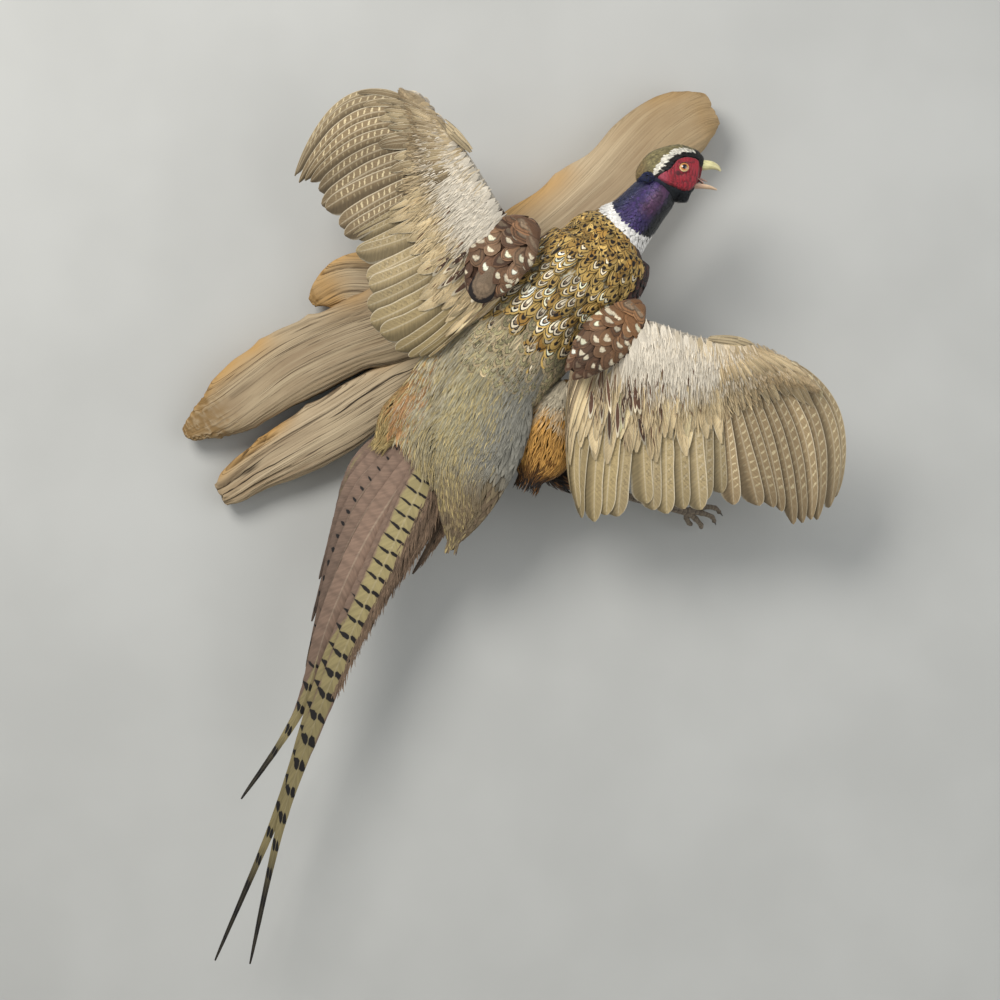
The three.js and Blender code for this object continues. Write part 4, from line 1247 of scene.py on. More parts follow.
def add_trunk_coat():
    rng = np.random.default_rng(21)
    coat = Coat()
    roots = outside(TRUNK.at, rows_over((0.03, 0.6), ALL_ROUND, 26, 40, rng, 0.38),
                    [NECK, WING["left"]["scapulars"], WING["right"]["scapulars"]], 3)
    back = step(roots.t, 0.38, 0.5)
    n = len(roots)
    length = (16 + 6 * back + rng.uniform(-2, 3, n)) * (0.75 + 0.25 * step(roots.t, 0.03, 0.14))
    lay(coat, TRUNK.at, roots, length=length, width=9 + 4 * back, depth=2.6, lift=rng.uniform(0.2, 0.9, n),
        turn=rng.normal(0, 0.17, n), arch=0.09, tones=mantle_tones(roots.t, roots.a, rng))
    coat.make("coat_mantle", BODY_FEATHER, "mantle")


def strands(coat, surface, roots, rng, *, count, length, width, spread, tones, depth=1.5, lift=1.2,
            rows=6, turn=0, stray=0.08):
    """A plume at each root: a few narrow blades fanned out from it. tones() gives a blade's colours."""
    n = len(roots)
    for k in range(count):
        off = (k - (count - 1) / 2)
        mine = Roots(roots.t, roots.a, roots.cells + [0, off * roots.size[1] / count],
                     roots.size * [1, 1 / count])
        lay(coat, surface, mine, length=length * rng.uniform(0.72, 1.1, n),
            width=width * rng.uniform(0.75, 1.25, n),
            turn=turn + off / max(count - 1, 1) * spread + rng.normal(0, stray, n),
            swerve=rng.normal(0, 0.05, n), depth=depth, lift=lift * rng.uniform(0.4, 1.25, n),
            shape=POINTED, rows=rows, cols=3, thick=0.25, arch=0.12, tones=tones())


def add_rump_coat():
    """Soft feathers at the sides, and hairlike plumes in one flow over the back to the root of the tail."""
    rng = np.random.default_rng(31)
    for name, body, others, span, rows, columns in (
            ("rump", TRUNK, [TAIL_COVERTS, FLANK_RIGHT, FLANK_LEFT], (0.54, 1), 16, 34),
            ("tail_coverts", TAIL_COVERTS, [TRUNK], (0, 0.9), 26, 30)):
        coat = Coat()
        roots = outside(body.at, rows_over(span, (-0.5, np.pi + 0.5), rows, columns, rng, 0.3), others, 3)
        n = len(roots)
        colour = back_colour(body.at(roots.t, roots.a)[0], rng)
        lay(coat, body.at, roots, length=20 + rng.uniform(-3, 5, n), width=5, depth=3, lift=0.1,
            turn=rng.normal(0, 0.12, n), arch=0.05, shape=POINTED, cols=3,
            tones=vary(rows_of(n, colour * 0.9, colour, colour * 0.9, (0.3, 0.8, 0)), rng))
        coat.make(f"coat_{name}", BODY_FEATHER, "rump")
    for name, span, rows in (("upper", (0, 0.44), 28), ("lower", (0.4, 0.9), 32)):
        plumes = Coat()
        roots = rows_over(span, (-1, 1.02), rows, 44, rng, 0.5)
        place = over_back(roots.t, roots.a)
        kept = ((rng.uniform(0, 1, len(roots)) < 0.2 + 0.8 * step(roots.t, 0.02, 0.16))
                & in_outline(place[:, 0], place[:, 2], round_line(RUMP_ROOTS, 90)))
        roots, place = roots.keep(kept), place[kept]

        def blade():
            colour = back_colour(place, rng)
            tones = rows_of(len(place), colour * 0.85, colour, colour * 1.12, (0.2, 0.55, 0))
            return vary(tones, rng, 0.12)

        length = (24 + 4 * step(roots.t, 0.5, 0.8)) * (1 - 0.5 * step(roots.t, 0.74, 0.9))
        strands(plumes, with_normals(over_back, BACK), roots, rng, count=3, length=length, width=1.15,
                spread=0.22, depth=1.6, rows=5, tones=blade)
        plumes.make(f"plumes_rump_{name}", PLUME, "rump")


def flank_colours(name, down, rng):
    """Right: cream, then golden orange, then dark ends. Left: rufous and olive. Body and tip."""
    if name == "left":
        colour = blend(RUFOUS, BUFF, chance(rng, 0.35 + 0.65 * step(down, 0.6, 0.85)) * 0.8)
        return colour, blend(colour, TAIL_OLIVE, 0.5)
    colour = layered(CREAM * 0.66, (FLANK_ORANGE, step(down, 0.14, 0.36)),
                     (FLANK_BROWN, step(down, 0.6, 0.75)), (INK * 1.4, 0.95 * step(down, 0.72, 0.82)))
    tip = blend(colour, INK, 0.85 * step(down, 0.66, 0.8))
    return colour, np.where(chance(rng, 0.3 * step(down, 0.35, 0.6))[:, None], TIP_BROWN, tip)


def add_flank_coats():
    rng = np.random.default_rng(41)
    for name, body, columns in (("right", FLANK_RIGHT, 34), ("left", FLANK_LEFT, 24)):
        coat = Coat()
        roots = outside(body.at, rows_over((0, 0.92), ALL_ROUND, 20, columns, rng, 0.35),
                        [TRUNK, TAIL_COVERTS], 2)
        down = roots.t + rng.normal(0, 0.05, len(roots))

        def blade():
            colour, tip = flank_colours(name, down, rng)
            return vary(rows_of(len(roots), colour, colour, tip, (0.2, 0.6, 0)), rng, 0.16)

        strands(coat, body.at, roots, rng, count=4, length=19, width=1.3, spread=0.35, depth=2.2, lift=0.8,
                rows=5, tones=blade)
        coat.make(f"plumes_flank_{name}", PLUME, "flank")


def add_thigh_coats():
    rng = np.random.default_rng(51)
    for name, body in (("right", THIGH_RIGHT), ("left", THIGH_LEFT)):
        coat = Coat()
        roots = outside(body.at, rows_over((0, 0.93), ALL_ROUND, 24, 18, rng, 0.35),
                        [TRUNK, FLANK_RIGHT, FLANK_LEFT], 1)

        def blade():
            colour = blend(THIGH, RUFOUS * 0.6, rng.uniform(0, 1, len(roots)) ** 3)
            return vary(rows_of(len(roots), colour, colour, colour * 0.6, (0.2, 0.6, 0)), rng, 0.2)

        strands(coat, body.at, roots, rng, count=2, length=13 * (1 - 0.5 * roots.t), width=2.4, spread=0.3,
                depth=1.6, lift=0.6, tones=blade)
        coat.make(f"plumes_thigh_{name}", PLUME, "thigh")


def add_neck_coat():
    rng = np.random.default_rng(61)
    roots = outside(NECK.at, rows_over((0.02, 0.97), ALL_ROUND, 34, 46, rng), [TRUNK], 2)
    roots = outside(NECK.at, roots, [HEAD], 2.5)
    tones = neck_tones(roots.t, roots.a, rng)
    dark = (tones["band"].sum(1) < 0.6) & (roots.t > sum(RING) / 2)
    size = 11 - 5.8 * step(roots.t, 0.12, 0.3) + 1.6 * step(roots.t, 0.5, 0.7)
    plain, glossy = Coat(), Coat()
    for coat, mask in ((glossy, dark), (plain, ~dark)):
        n = mask.sum()
        lay(coat, NECK.at, roots.keep(mask), length=size[mask] * rng.uniform(0.85, 1.15, n),
            width=size[mask] * 0.62, flow=-1, depth=1.2, lift=rng.uniform(0.1, 0.6, n),
            turn=rng.normal(0, 0.12, n), arch=0.1, rows=6, cols=3, thick=0.2,
            tones={k: v[mask] for k, v in tones.items()})
    plain.make("coat_neck_ring", BODY_FEATHER, "neck")
    glossy.make("coat_neck_gloss", GLOSS_FEATHER, "neck")


def add_head_coat():
    """Tiny feathers over the head, smallest near the bill and round the bare red skin, and the ear tufts."""
    rng = np.random.default_rng(71)
    coat = Coat()
    tiny = dict(rows=4, cols=3, thick=0.2, arch=0.12, shape=POINTED)
    roots = outside(HEAD.at, rows_over((0.05, 0.99), ALL_ROUND, 52, 64, rng, 0.3), [NECK], 3)
    x, y, z = HEAD.at(roots.t, roots.a)[0].T
    bare = in_outline(x - 1.2, z, round_line(WATTLE, 60)) & (np.abs(y - HEAD_MIDDLE) > 4)
    mouth = (x > 177) & (np.abs(z - 45.5) < 9.5)
    roots = roots.keep(~(bare | mouth))
    points, _ = HEAD.at(roots.t, roots.a)
    n = len(roots)
    colour = head_colour(points, rng)
    ahead = step(points[:, 0], 140, 182)
    chin = step(points[:, 2], 32, 26) * step(points[:, 0], 162, 170)
    lay(coat, HEAD.at, roots, length=(6.2 - 3.2 * ahead + 3 * chin) * rng.uniform(0.85, 1.15, n),
        width=3 - 1.3 * ahead, flow=-1, depth=0.7, lift=rng.uniform(0.05, 0.4, n) + 2.2 * chin,
        turn=rng.normal(0, 0.12, n), **tiny,
        tones=vary(rows_of(n, colour, colour, colour * 0.8, (0.3, 0.8, 0)), rng, 0.16))
    for side in (-1, 1):
        tuft = Loft([[140.5, -9, 43.3, 3, 2.5, 2.5], [135.5, -13, 43.6, 5.6, 3.6, 3.6],
                     [130.7, -15, 42.8, 5.4, 3, 3], [125.5, -16, 41.2, 1.4, 1, 1]])
        tuft.rows[:, 1] = HEAD_MIDDLE - side * tuft.rows[:, 1]
        tuft.rows[:, 3:] = np.maximum(tuft.rows[:, 3:] - 0.8, 0.5)
        area = (0, 0, 0.02, 0.49) if side < 0 else (0, 0.5, 0.02, 1)
        ear = rows_over((0, 0.8), (0, 2 * np.pi), 7, 12, rng, 0.3, area)
        lay(coat, tuft.at, ear, length=7, width=2.2, depth=0.4, lift=0.5, **tiny,
            turn=rng.normal(0, 0.15, len(ear)),
            tones=vary(rows_of(len(ear), NAVY, NAVY, BLACK_GREEN, (0.3, 0.8, 0)), rng, 0.25))
    coat.make("coat_head", HEAD_FEATHER, "head")


# ---- wings


def top_surface(wing):
    return with_normals(lambda t, q: wing_top(wing, q, t), BACK)


def under_surface(wing):
    """The wall side of the coverts, never in front of the flight feathers."""
    def surface(t, q):
        _, down = arm_faces(wing, q, t)
        down[..., 1] = np.maximum(down[..., 1], wing["sheet"].at(down[..., 0], down[..., 2]) + 1.5)
        return down
    return with_normals(surface, -BACK)


def towards_hand(q):
    """How far a covert turns from straight back to the wing's tip: least at the shoulder."""
    return 0.12 + 0.95 * step(q, 0.36, 0.85)


# The fan, how many more than its feathers, how far down and out the row goes, and how far above the arm.
LONG_ROWS = (("secondaries", 8, 0.68, 1, 1), ("secondaries", 16, 0.54, 1, 1.8),
             ("primaries", 6, 0.5, 0.95, 1), ("primaries", 11, 0.41, 0.92, 1.8),
             ("primaries", 15, 0.3, 0.9, 2.6))


def add_long_coverts(coat, side, rng):
    """Rows of long coverts over the bases of the flight feathers: buff with pale edges, the outer ones
    faintly marbled, and brown with pale edges on the hand."""
    wing = WING[side]

    def buff(n, q):
        body = blend(WARM_BUFF * 1.6, SECONDARY, rng.uniform(0, 0.4, n))
        brown = 0.7 if side == "right" else 0.4
        body = blend(body, STREAK_BROWN, chance(rng, brown * step(q, 0.3, 0.12)) * 0.6)
        tones = rows_of(n, body, CREAM, CREAM, (13, 0, 0.25), (1, 0.3, 0))
        tones["marks"][:, 1] = 0.4 * step(q, 0.45, 0.95)
        return vary(tones, rng, 0.09)

    def brown(n, _):
        # Painted light and shade: the hand's brown is lighter on the right wing than on the left.
        body = blend(PRIMARY, WARM_BUFF, rng.uniform(0, 1, n)) * COVERT_LOOK[side][1] * 1.08
        return vary(rows_of(n, body, VANE_SPOT, CREAM * 1.1, (10, 0, 0.1), (1, 0.4, 0)), rng, 0.1)

    counts = [wing[kind]["count"] + more for kind, more, _, _, _ in LONG_ROWS]
    for k, (kind, _, stop, share, above) in enumerate(LONG_ROWS):
        flight_row(coat, wing[kind], buff if kind == "secondaries" else brown, sum(counts[:k]), sum(counts),
                   rng=rng, count=counts[k], rows=20, cols=7, start=-0.02, stop=stop, span=share,
                   over=wing["top"], above=above, loose=0.2, ragged=0.28, taper=0.5)


def add_covert_coats():
    """Silky coverts over the arm, two rows of long ones over the bases of the flight feathers, dark
    pointed ones among them near the shoulder, and grey under-coverts on the wall side."""
    rng = np.random.default_rng(81)
    for side, wing in WING.items():
        upper, silk, great, lower, dark = (Coat() for _ in range(5))
        surface, beneath = top_surface(wing), under_surface(wing)
        pads = [TRUNK, wing["scapulars"]]
        roots = outside(surface, rows_over((0.05, 0.5), (0.01, 0.9), 12, 30, rng, 0.3), pads, 1.5)
        n = len(roots)
        length = (15 + 16 * roots.t) * (1 - 0.3 * roots.a)
        lay(upper, surface, roots, length=length * rng.uniform(0.9, 1.15, n), width=0.3 * length + 1.5,
            depth=0.3 + 1.7 * step(roots.t, 0, 0.2), lift=rng.uniform(0, 0.4, n),
            turn=towards_hand(roots.a) + rng.normal(0, 0.06, n), arch=0.03, shape=POINTED,
            tones=covert_tones(roots.a, roots.t, rng, side))
        roots = outside(surface, rows_over((0.02, 0.86), (0.01, 0.9), 26, 40, rng, 0.45), pads, 0.5)
        sparse = 0.75 * step(roots.t, 0.34, 0.8) + 0.9 * step(roots.a, 0.6, 0.85)
        roots = roots.keep(rng.uniform(0, 1, len(roots)) > sparse)
        strands(silk, surface, roots, rng, count=4, width=1.5, spread=0.16, depth=1.4, rows=5,
                length=(22 + 14 * roots.t) * (1 - 0.35 * step(roots.a, 0.45, 0.7)),
                lift=1.2 + 1.9 * step(roots.t, 0.2, 0.5), turn=towards_hand(roots.a), stray=0.045,
                tones=lambda: covert_tones(roots.a, roots.t, rng, side))
        add_long_coverts(great, side, rng)
        under = outside(beneath, rows_over((0.02, 0.8), (0.03, 0.88), 12, 20, rng, 0.25), [TRUNK], 1.5)
        n = len(under)
        lay(lower, beneath, under, length=(22 + 14 * under.t) * (1 - 0.4 * under.a), width=11,
            depth=1.2, lift=0.3, turn=towards_hand(under.a) + rng.normal(0, 0.1, n), arch=0.05,
            tones=vary(rows_of(n, UNDER_GREY, UNDER_GREY * 1.1, CREAM * 0.8, (0.25, 0.8, 0)), rng, 0.1))
        few = outside(surface, rows_over((0.48, 0.88), (0.03, 0.21), 3, 4, rng, 0.8), pads, 1)
        n = len(few)
        lay(dark, surface, few, length=rng.uniform(22, 34, n), width=rng.uniform(4.5, 7.5, n), depth=-2.6,
            lift=3.6, shape=POINTED, rows=10, turn=towards_hand(few.a) + rng.normal(0, 0.08, n),
            tones=vary(rows_of(n, STREAK_BROWN, STREAK_BROWN, CREAM * 0.75, (0.4, 0.72, 0)), rng, 0.2))
        for coat, kind, material in ((upper, "", SILK_FEATHER), (silk, "_silk", PLUME),
                                     (great, "_greater", FLIGHT_FEATHER), (dark, "_dark", SILK_FEATHER),
                                     (lower, "_under", SILK_FEATHER)):
            coat.make(f"coverts_{side}{kind}", material, "covert")


def mixed(tones, other, rng, share):
    """Swaps in other tones by chance, each kind of tone drawn for itself."""
    return {k: np.where(chance(rng, share)[:, None], other[k], tones[k]) for k in TONES}


def add_scapulars():
    """Broad brown feathers, each with a cream spot ringed with black; gold ones where the mantle begins."""
    rng = np.random.default_rng(91)
    for side, wing in WING.items():
        pad, coat = wing["scapulars"], Coat()
        roots = rows_over((0, 0.74), (-0.3, np.pi + 0.3), 7, 7, rng, 0.4)
        n = len(roots)
        brown = layered(blend(MAROON * 1.2, CHESTNUT * 1.15, rng.uniform(0.1, 1, n)),
                        (TAUPE, rng.uniform(0, 0.7, n) ** 2),
                        (RUFOUS * 0.75, 0.4 * step(roots.t, 0.6, 0.2) * (side == "right")),
                        (MAROON * 0.8, 0.6 * step(roots.t, 0.35, 0.7)))
        tones = rows_of(n, CREAM * 1.1, brown, brown * 1.2, (0.5, 0.92, 0.35), (-1, 0.25, 0))
        tones["marks"][:, 0] = rng.uniform(0.38, 0.72, n)
        tones["marks"][:, 2] = rng.uniform(0.1, 0.6, n)
        _, _, out = TRUNK.locate(pad.at(roots.t, roots.a)[0])
        gold = rows_of(n, INK * 1.5, GOLD, GOLD * 0.85, (0.3, 0.8, 0.7), (0.4, 0.1, 0))
        ringed = rows_of(n, TAUPE, CREAM * 1.1, brown, (0.3, 0.62, 0.9), (-1, 0, 0))
        gold = mixed(gold, ringed, rng, np.full(n, 0.6))
        tones = mixed(tones, gold, rng, 0.85 * step(out, 1.22, 1.02))
        low = (roots.t > 0.66) | chance(rng, np.full(n, 0.08))
        for key, value in (("core", TAUPE * 0.9), ("band", MAROON), ("marks", (0.6, 0.9, 0.2))):
            tones[key][low] = value
        tones["core"][roots.t < 0.13] = TAUPE
        lay(coat, pad.at, roots, length=rng.uniform(18, 25, n), width=rng.uniform(12, 17, n), depth=2.6,
            lift=rng.uniform(-0.3, 0.6, n), turn=rng.normal(0, 0.24, n), arch=0.05, rows=10, cols=7,
            tones=vary(tones, rng, 0.18))
        if side == "left":
            bed = Loft([[-12, -168, -42, 13, 9, 6], [-22, -165, -64, 15, 7.5, 5], [-35, -161, -92, 13, 5, 3]])
            last = Roots(*(np.array(f) for f in ([0], [np.pi / 2], [[0.995, 0.5]], [0.008, 0.3])))
            lay(coat, bed.at, last, length=36, width=25, depth=0.6, lift=0.8, rows=12, cols=9,
                shape=BROAD,
                tones=rows_of(1, TAUPE * 1.1, TAUPE * 0.9, INK * 1.5, (0.6, 0.84, 0.2), (-1, 0.3, 0.4)))
        coat.make(f"scapulars_{side}", BODY_FEATHER, "scapular")


def add_alulae():
    rng = np.random.default_rng(95)
    for side, wing in WING.items():
        coat = Coat()
        roots = rows_over((0, 0.35), (0.4, np.pi - 0.4), 2, 4, rng, 0.15)
        n = len(roots)
        lay(coat, wing["alula"].at, roots, length=rng.uniform(26, 36, n), width=5, depth=2.2, lift=-1.2,
            rows=14, cols=7, arch=0.03, shape=POINTED,
            tones=vary(rows_of(n, WARM_BUFF * 0.9, CREAM, CREAM * 0.9, (9, 0, 0.2), (0.7, 0.4, 0)), rng))
        coat.make(f"alula_{side}", FLIGHT_FEATHER, "covert")


def flight_row(coat, feathers, tones, first_cell, cells, *, rng, count=None, rows=44, cols=9, start=0.12,
               stop=1, span=1, over=None, above=0, loose=0.08, ragged=0.05, taper=0.88):
    """A row of feathers along a fan: each a strip of the sheet from its inner to its outer edge.

    A strip reaches one spacing inwards and about half a spacing outwards of its shaft, and lies under the
    next one in and over the next one out, so that its outer edge is raised and its inner one lowered.
    With over, a relief, the strips lie `above` that instead of in the sheet itself. Its end is rounded
    from `taper` on."""
    count = count or feathers["count"]
    gap = span / count
    middle = (np.arange(count) + 0.5) * gap
    v2, u2 = grid(np.linspace(0, 1, rows), np.linspace(-1, 1, cols))
    end = np.sqrt(1 - np.clip((v2 - taper) / (1 - taper), 0, 0.99) ** 2)
    edge = 1 + 0.06 * np.stack([ripple(v2 * 9 + 3.7 * k, u2 * 0.6) for k in range(count)])
    reach = np.where(u2 > 0, 0.56, 1) * u2 * gap * end * (0.5 + 0.5 * np.clip(v2 / 0.2, 0, 1)) * edge
    sway = loose * gap * 3 * rng.normal(size=(count, 1, 1)) * v2 ** 1.5
    q = middle[:, None, None] + reach + sway
    last = stop * (1 - ragged * rng.uniform(0, 1, (count, 1, 1)))
    place = fan(feathers, q, start + (last - start) * v2 + 0 * q)
    if over is not None:
        place[..., 1] = over.at(place[..., 0], place[..., 2]) - above + 6 * (1 - v2) ** 2
    place[..., 1] += -1.15 * u2 - 0.6 * (1 - np.abs(u2)) + 0.5 if over is None else -0.7 * u2 + 0.4
    under = place.copy()
    under[..., 1] += 0.45 * (1 - u2 ** 2) + 0.05
    centre = np.stack([(first_cell + 0.5 + np.arange(count)) / cells, np.full(count, 0.5)], -1)
    coat.add(place, under, (u2 + 1) / 2, v2, tones(count, middle), centre, np.array([0.92 / cells, 0.97]))


def add_flight_feathers():
    rng = np.random.default_rng(101)
    for side, wing in WING.items():
        def secondary(n, q):
            # Painted light and shade: the right wing's secondaries are lighter than the left's.
            body = blend(SECONDARY, BUFF, rng.uniform(0, 1, n) * 0.5) * (0.94 if side == "left" else 1.08)
            body = blend(body, WARM_BUFF, 0.4 * step(q, 0.3, 0.6))
            body = blend(body, STREAK_BROWN, 0.7 * step(q, 0.3, 0.05) * rng.uniform(0.3, 1, n))
            tones = rows_of(n, body, CREAM, CREAM, (13, 0, 0), (0.85, 0.3, 0))
            tones["marks"][:, 1] = 0.4 * step(q, 0.4, 0.95)
            tones["marks"][:, 2] = 0.3 + 0.4 * step(q, 0.3, 0.6)
            return vary(tones, rng, 0.06)

        def primary(n, q):
            # Painted light and shade: the right wing's primaries are lighter than the left's.
            body = blend(PRIMARY * COVERT_LOOK[side][1] * 1.05, WARM_BUFF * 0.85, 0.5 * step(q, 0.75, 1))
            tones = rows_of(n, body, VANE_SPOT, CREAM, (19, 1, 0), (0.75, 0.26, 0))
            tones["marks"][:, 0] = rng.uniform(18.6, 19.4, n)
            return vary(tones, rng, 0.06)

        inner = wing["secondaries"]["count"]
        cells = inner + wing["primaries"]["count"]
        for kind, tones, first, loose, ragged in (("secondaries", secondary, 0, 0.12, 0.1),
                                                  ("primaries", primary, inner, 0.08, 0.05)):
            coat = Coat()
            flight_row(coat, wing[kind], tones, first, cells, rng=rng, loose=loose, ragged=ragged)
            coat.make(f"{kind}_{side}", FLIGHT_FEATHER, "flight", f"wing_{side}_{kind}")


# ---- tail

# A shaft as seen (x, z) from root to tip, the feather's width, and its layer from the viewer back.
SHAFTS = {
    "right_1": ([[-55, -190], [-109, -305], [-159, -413], [-211, -552], [-247, -708]], 32, 0),
    "left_1": ([[-60, -190], [-115, -305], [-166, -413], [-216, -552], [-281, -705]], 31, 1),
    "right_2": ([[-48, -192], [-82, -278], [-126, -355], [-164, -433], [-191, -502]], 29, 2),
    "left_2": ([[-63, -192], [-129, -288], [-170, -375], [-200, -464], [-256, -549]], 31, 3),
    "right_3": ([[-45, -193], [-72, -264], [-103, -327], [-148, -409]], 27, 4),
    "left_3": ([[-69, -190], [-134, -269], [-171, -346], [-193, -421]], 29, 5),
    "right_4": ([[-43, -195], [-65, -254], [-86, -305], [-121, -359]], 25, 6),
    "left_4": ([[-76, -188], [-137, -251], [-167, -313], [-188, -377]], 26, 7),
    "right_5": ([[-41, -197], [-51, -249], [-65, -290], [-90, -331]], 27, 8),
    "left_5": ([[-83, -186], [-139, -236], [-163, -284], [-181, -336]], 25, 9),
    "right_6": ([[-39, -199], [-43, -245], [-48, -280], [-58, -311]], 25, 10),
    "left_6": ([[-90, -184], [-137, -220], [-158, -261], [-172, -300]], 25, 11),
}
# Depth between two layers, how far a feather leans to the wall, and how far its shaft stands out.
TAIL_LAYER = 1.45
TAIL_FALL = 10
SHAFT_RISE = 0.25
TAIL_GRID = (150, 11)
FRINGES = [("right_1", (0.1, 0.55), (0.5, 0.95), 46), ("right_2", (0.12, 0.6), (0.3, 0.95), 30),
           ("right_3", (0.12, 0.7), (0.2, 0.95), 26), ("right_5", (0.15, 0.85), (0, 0.95), 22)]


def tail_place(name, v, u, ragged=1):
    """A place on a tail feather: v down its shaft, u across it, -1 at its left edge and 1 at its right."""
    line, width, layer = SHAFTS[name]
    line = np.array(line, float)
    shaft, along = smooth(line, v), heading(line, v)
    taper = np.clip(1 - 0.985 * v, 0.01, 1) ** 0.56 * (1 - 0.48 * step(v, 0.55, 0.88))
    off = 0.5 * width * np.minimum(1, 0.55 + 3 * v) * taper * u * ragged
    y = TAIL_TOP + layer * TAIL_LAYER + TAIL_FALL * v * len(line) / 5 - SHAFT_RISE * (1 - np.abs(u)) * 2
    return np.stack([shaft[..., 0] - along[..., 1] * off, y, shaft[..., 1] + along[..., 0] * off], -1)


def tail_marks(name, run, u):
    """How thick the bars are and how far mauve reaches in from the edges, by feather and side.

    The right one of the middle pair is barred from the top, and mauve shows at both its edges. The left
    one is olive beside it and mauve further out, and so are those under it, barred only below. The left
    outer ones are mauve, with small dots beside one shaft and an olive outer edge."""
    side, number = name.split("_")
    thick = 0.1 + 0.07 * step(run, 60, 420)
    if name == "right_1":
        return thick * step(run, 20, 60), np.where(u > 0, 0.38, 0.2) * step(run, 420, 260)
    if name in ("left_1", "left_2", "left_3"):
        below = {"1": 150, "2": 230, "3": 190}[number]
        near = step(u, -0.4, 0.3) if name == "left_1" else 0 * u
        return (thick * np.maximum(step(run, below, below + 60), near * step(run, 50, 90)),
                1.3 * step(run, below + 110, below) * (1 - 0.8 * near))
    if side == "left":
        dots = (0.08 + 0.1 * step(run, 60, 170)) * step(np.abs(u + 0.3), 0.34, 0.2) * (number == "4")
        return dots, 1.3 - 0.9 * step(u, -0.3, -0.7) * (number == "6")
    return 0.1 * step(np.abs(u - 0.3), 0.3, 0.2) * step(run, 60, 90), 1.3 + 0 * u


def add_tail():
    """Twelve long feathers, each a strip either side of its shaft, full near the root and drawn out to a
    point, with dark bars that stand further apart down the feather; loose barbs fringe some of them."""
    rng = np.random.default_rng(111)
    coat, fringe = Coat(), Coat()
    rows, cols = TAIL_GRID
    v2, u2 = grid(np.linspace(0, 1, rows), np.linspace(-1, 1, cols))
    v = v2[:, 0]
    for k, (name, (_, _, layer)) in enumerate(SHAFTS.items()):
        ragged = 1 + 0.035 * np.stack([ripple(v * 60, 0 * v + 3 * k + s) for s in (0, 1)], -1)
        top = tail_place(name, v2, u2, np.where(u2 < 0, ragged[:, :1], ragged[:, 1:]))[None]
        bottom = top.copy()
        bottom[..., 1] += 0.35 * (1 - u2 ** 2) + 0.3
        shaft = tail_place(name, v, 0 * v)
        run = np.append(0, np.cumsum(np.linalg.norm(np.diff(shaft[:, [0, 2]], axis=0), axis=1)))
        spacing = 12.5 + 15 * step(run, 90, 420)
        bars = np.append(0, np.cumsum(np.diff(run) / spacing[1:])) + 0.37 * layer
        body = blend(TAIL_OLIVE, BUFF, 0.25 * rng.uniform(0, 1, 1))
        web = FRINGE_BROWN if name.startswith("right") and layer > 1 else MAUVE
        tones = vary(rows_of(1, body, CREAM, web, (0, 0, 0), (0, 0, 0)), rng, 0.04)
        # Darker towards the tip, half as dark on the feathers further back.
        blackened_tip = 0.94 * step(v2, 0.8, 0.88) * (0.5 if layer > 3 else 1)
        bars, run = bars[:, None] + 0 * u2, run[:, None] + 0 * u2
        tones["marks"] = np.stack([bars, *tail_marks(name, run, u2)], -1)[None]
        tones["fine"] = np.stack([blackened_tip, 0 * v2, tones["fine"][0, 2] + 0 * v2], -1)[None]
        coat.add(top, bottom, (u2 + 1) / 2, v2, tones, np.array([[(k + 0.5) / len(SHAFTS), 0.5]]),
                 np.array([0.94 / len(SHAFTS), 0.98]))
    coat.make("tail_feathers", TAIL_FEATHER, "tail", *[f"tail_{name}" for name in SHAFTS])
    for k, (name, span, across, count) in enumerate(FRINGES):
        patch = (k / len(FRINGES), 0, (k + 1) / len(FRINGES), 1)
        roots = rows_over(span, across, count, 5, rng, 0.5, patch)
        browns = [FRINGE_BROWN * f for f in (0.6, 0.75, 0.9)]
        strands(fringe, with_normals(lambda v, u: tail_place(name, v, u), BACK), roots, rng, count=2,
                length=22 * (1 - 0.5 * step(roots.t, 0.3, 0.6)), width=0.95, spread=0.16, turn=0.26,
                depth=0.4, lift=0.9, rows=5,
                tones=lambda: vary(rows_of(len(roots), *browns, (0.2, 0.6, 0)), rng, 0.22))
    fringe.make("plumes_tail_fringe", PLUME, "tail")


# ---- the head's bare parts


def head_side(x, z):
    """How far the head's surface is from its middle plane, at a place seen from the side."""
    t = np.linspace(0, 1, 80)
    centre, _, _, _, sizes = HEAD.axes(np.interp(x, smooth(HEAD.rows[:, 0:1], t)[:, 0], t))
    rise = z - centre[..., 2]
    deep = np.where(rise > 0, sizes[..., 1], sizes[..., 2])
    return sizes[..., 0] * np.clip(1 - np.abs(rise / deep) ** HEAD.power, 0, 1) ** (1 / HEAD.power)


# The eyelid's radius, and the wattle's rows, columns and thickness.
LID = 4.35
WATTLE_RINGS, WATTLE_SPOKES = 52, 130
WATTLE_THICK = 1.2


def wattle_faces():
    """Quads of a ring-shaped leaf: its outer face, its inner one, and the two rims that join them."""
    quads = grid_faces(WATTLE_RINGS, WATTLE_SPOKES, wrap=True)
    ring = WATTLE_RINGS * WATTLE_SPOKES
    last = ring - WATTLE_SPOKES
    j = np.arange(WATTLE_SPOKES)
    k = (j + 1) % WATTLE_SPOKES
    rims = [np.stack([j, ring + j, ring + k, k], -1),
            np.stack([last + k, ring + last + k, ring + last + j, last + j], -1)]
    return np.concatenate([quads, ring + quads[:, ::-1], *rims])


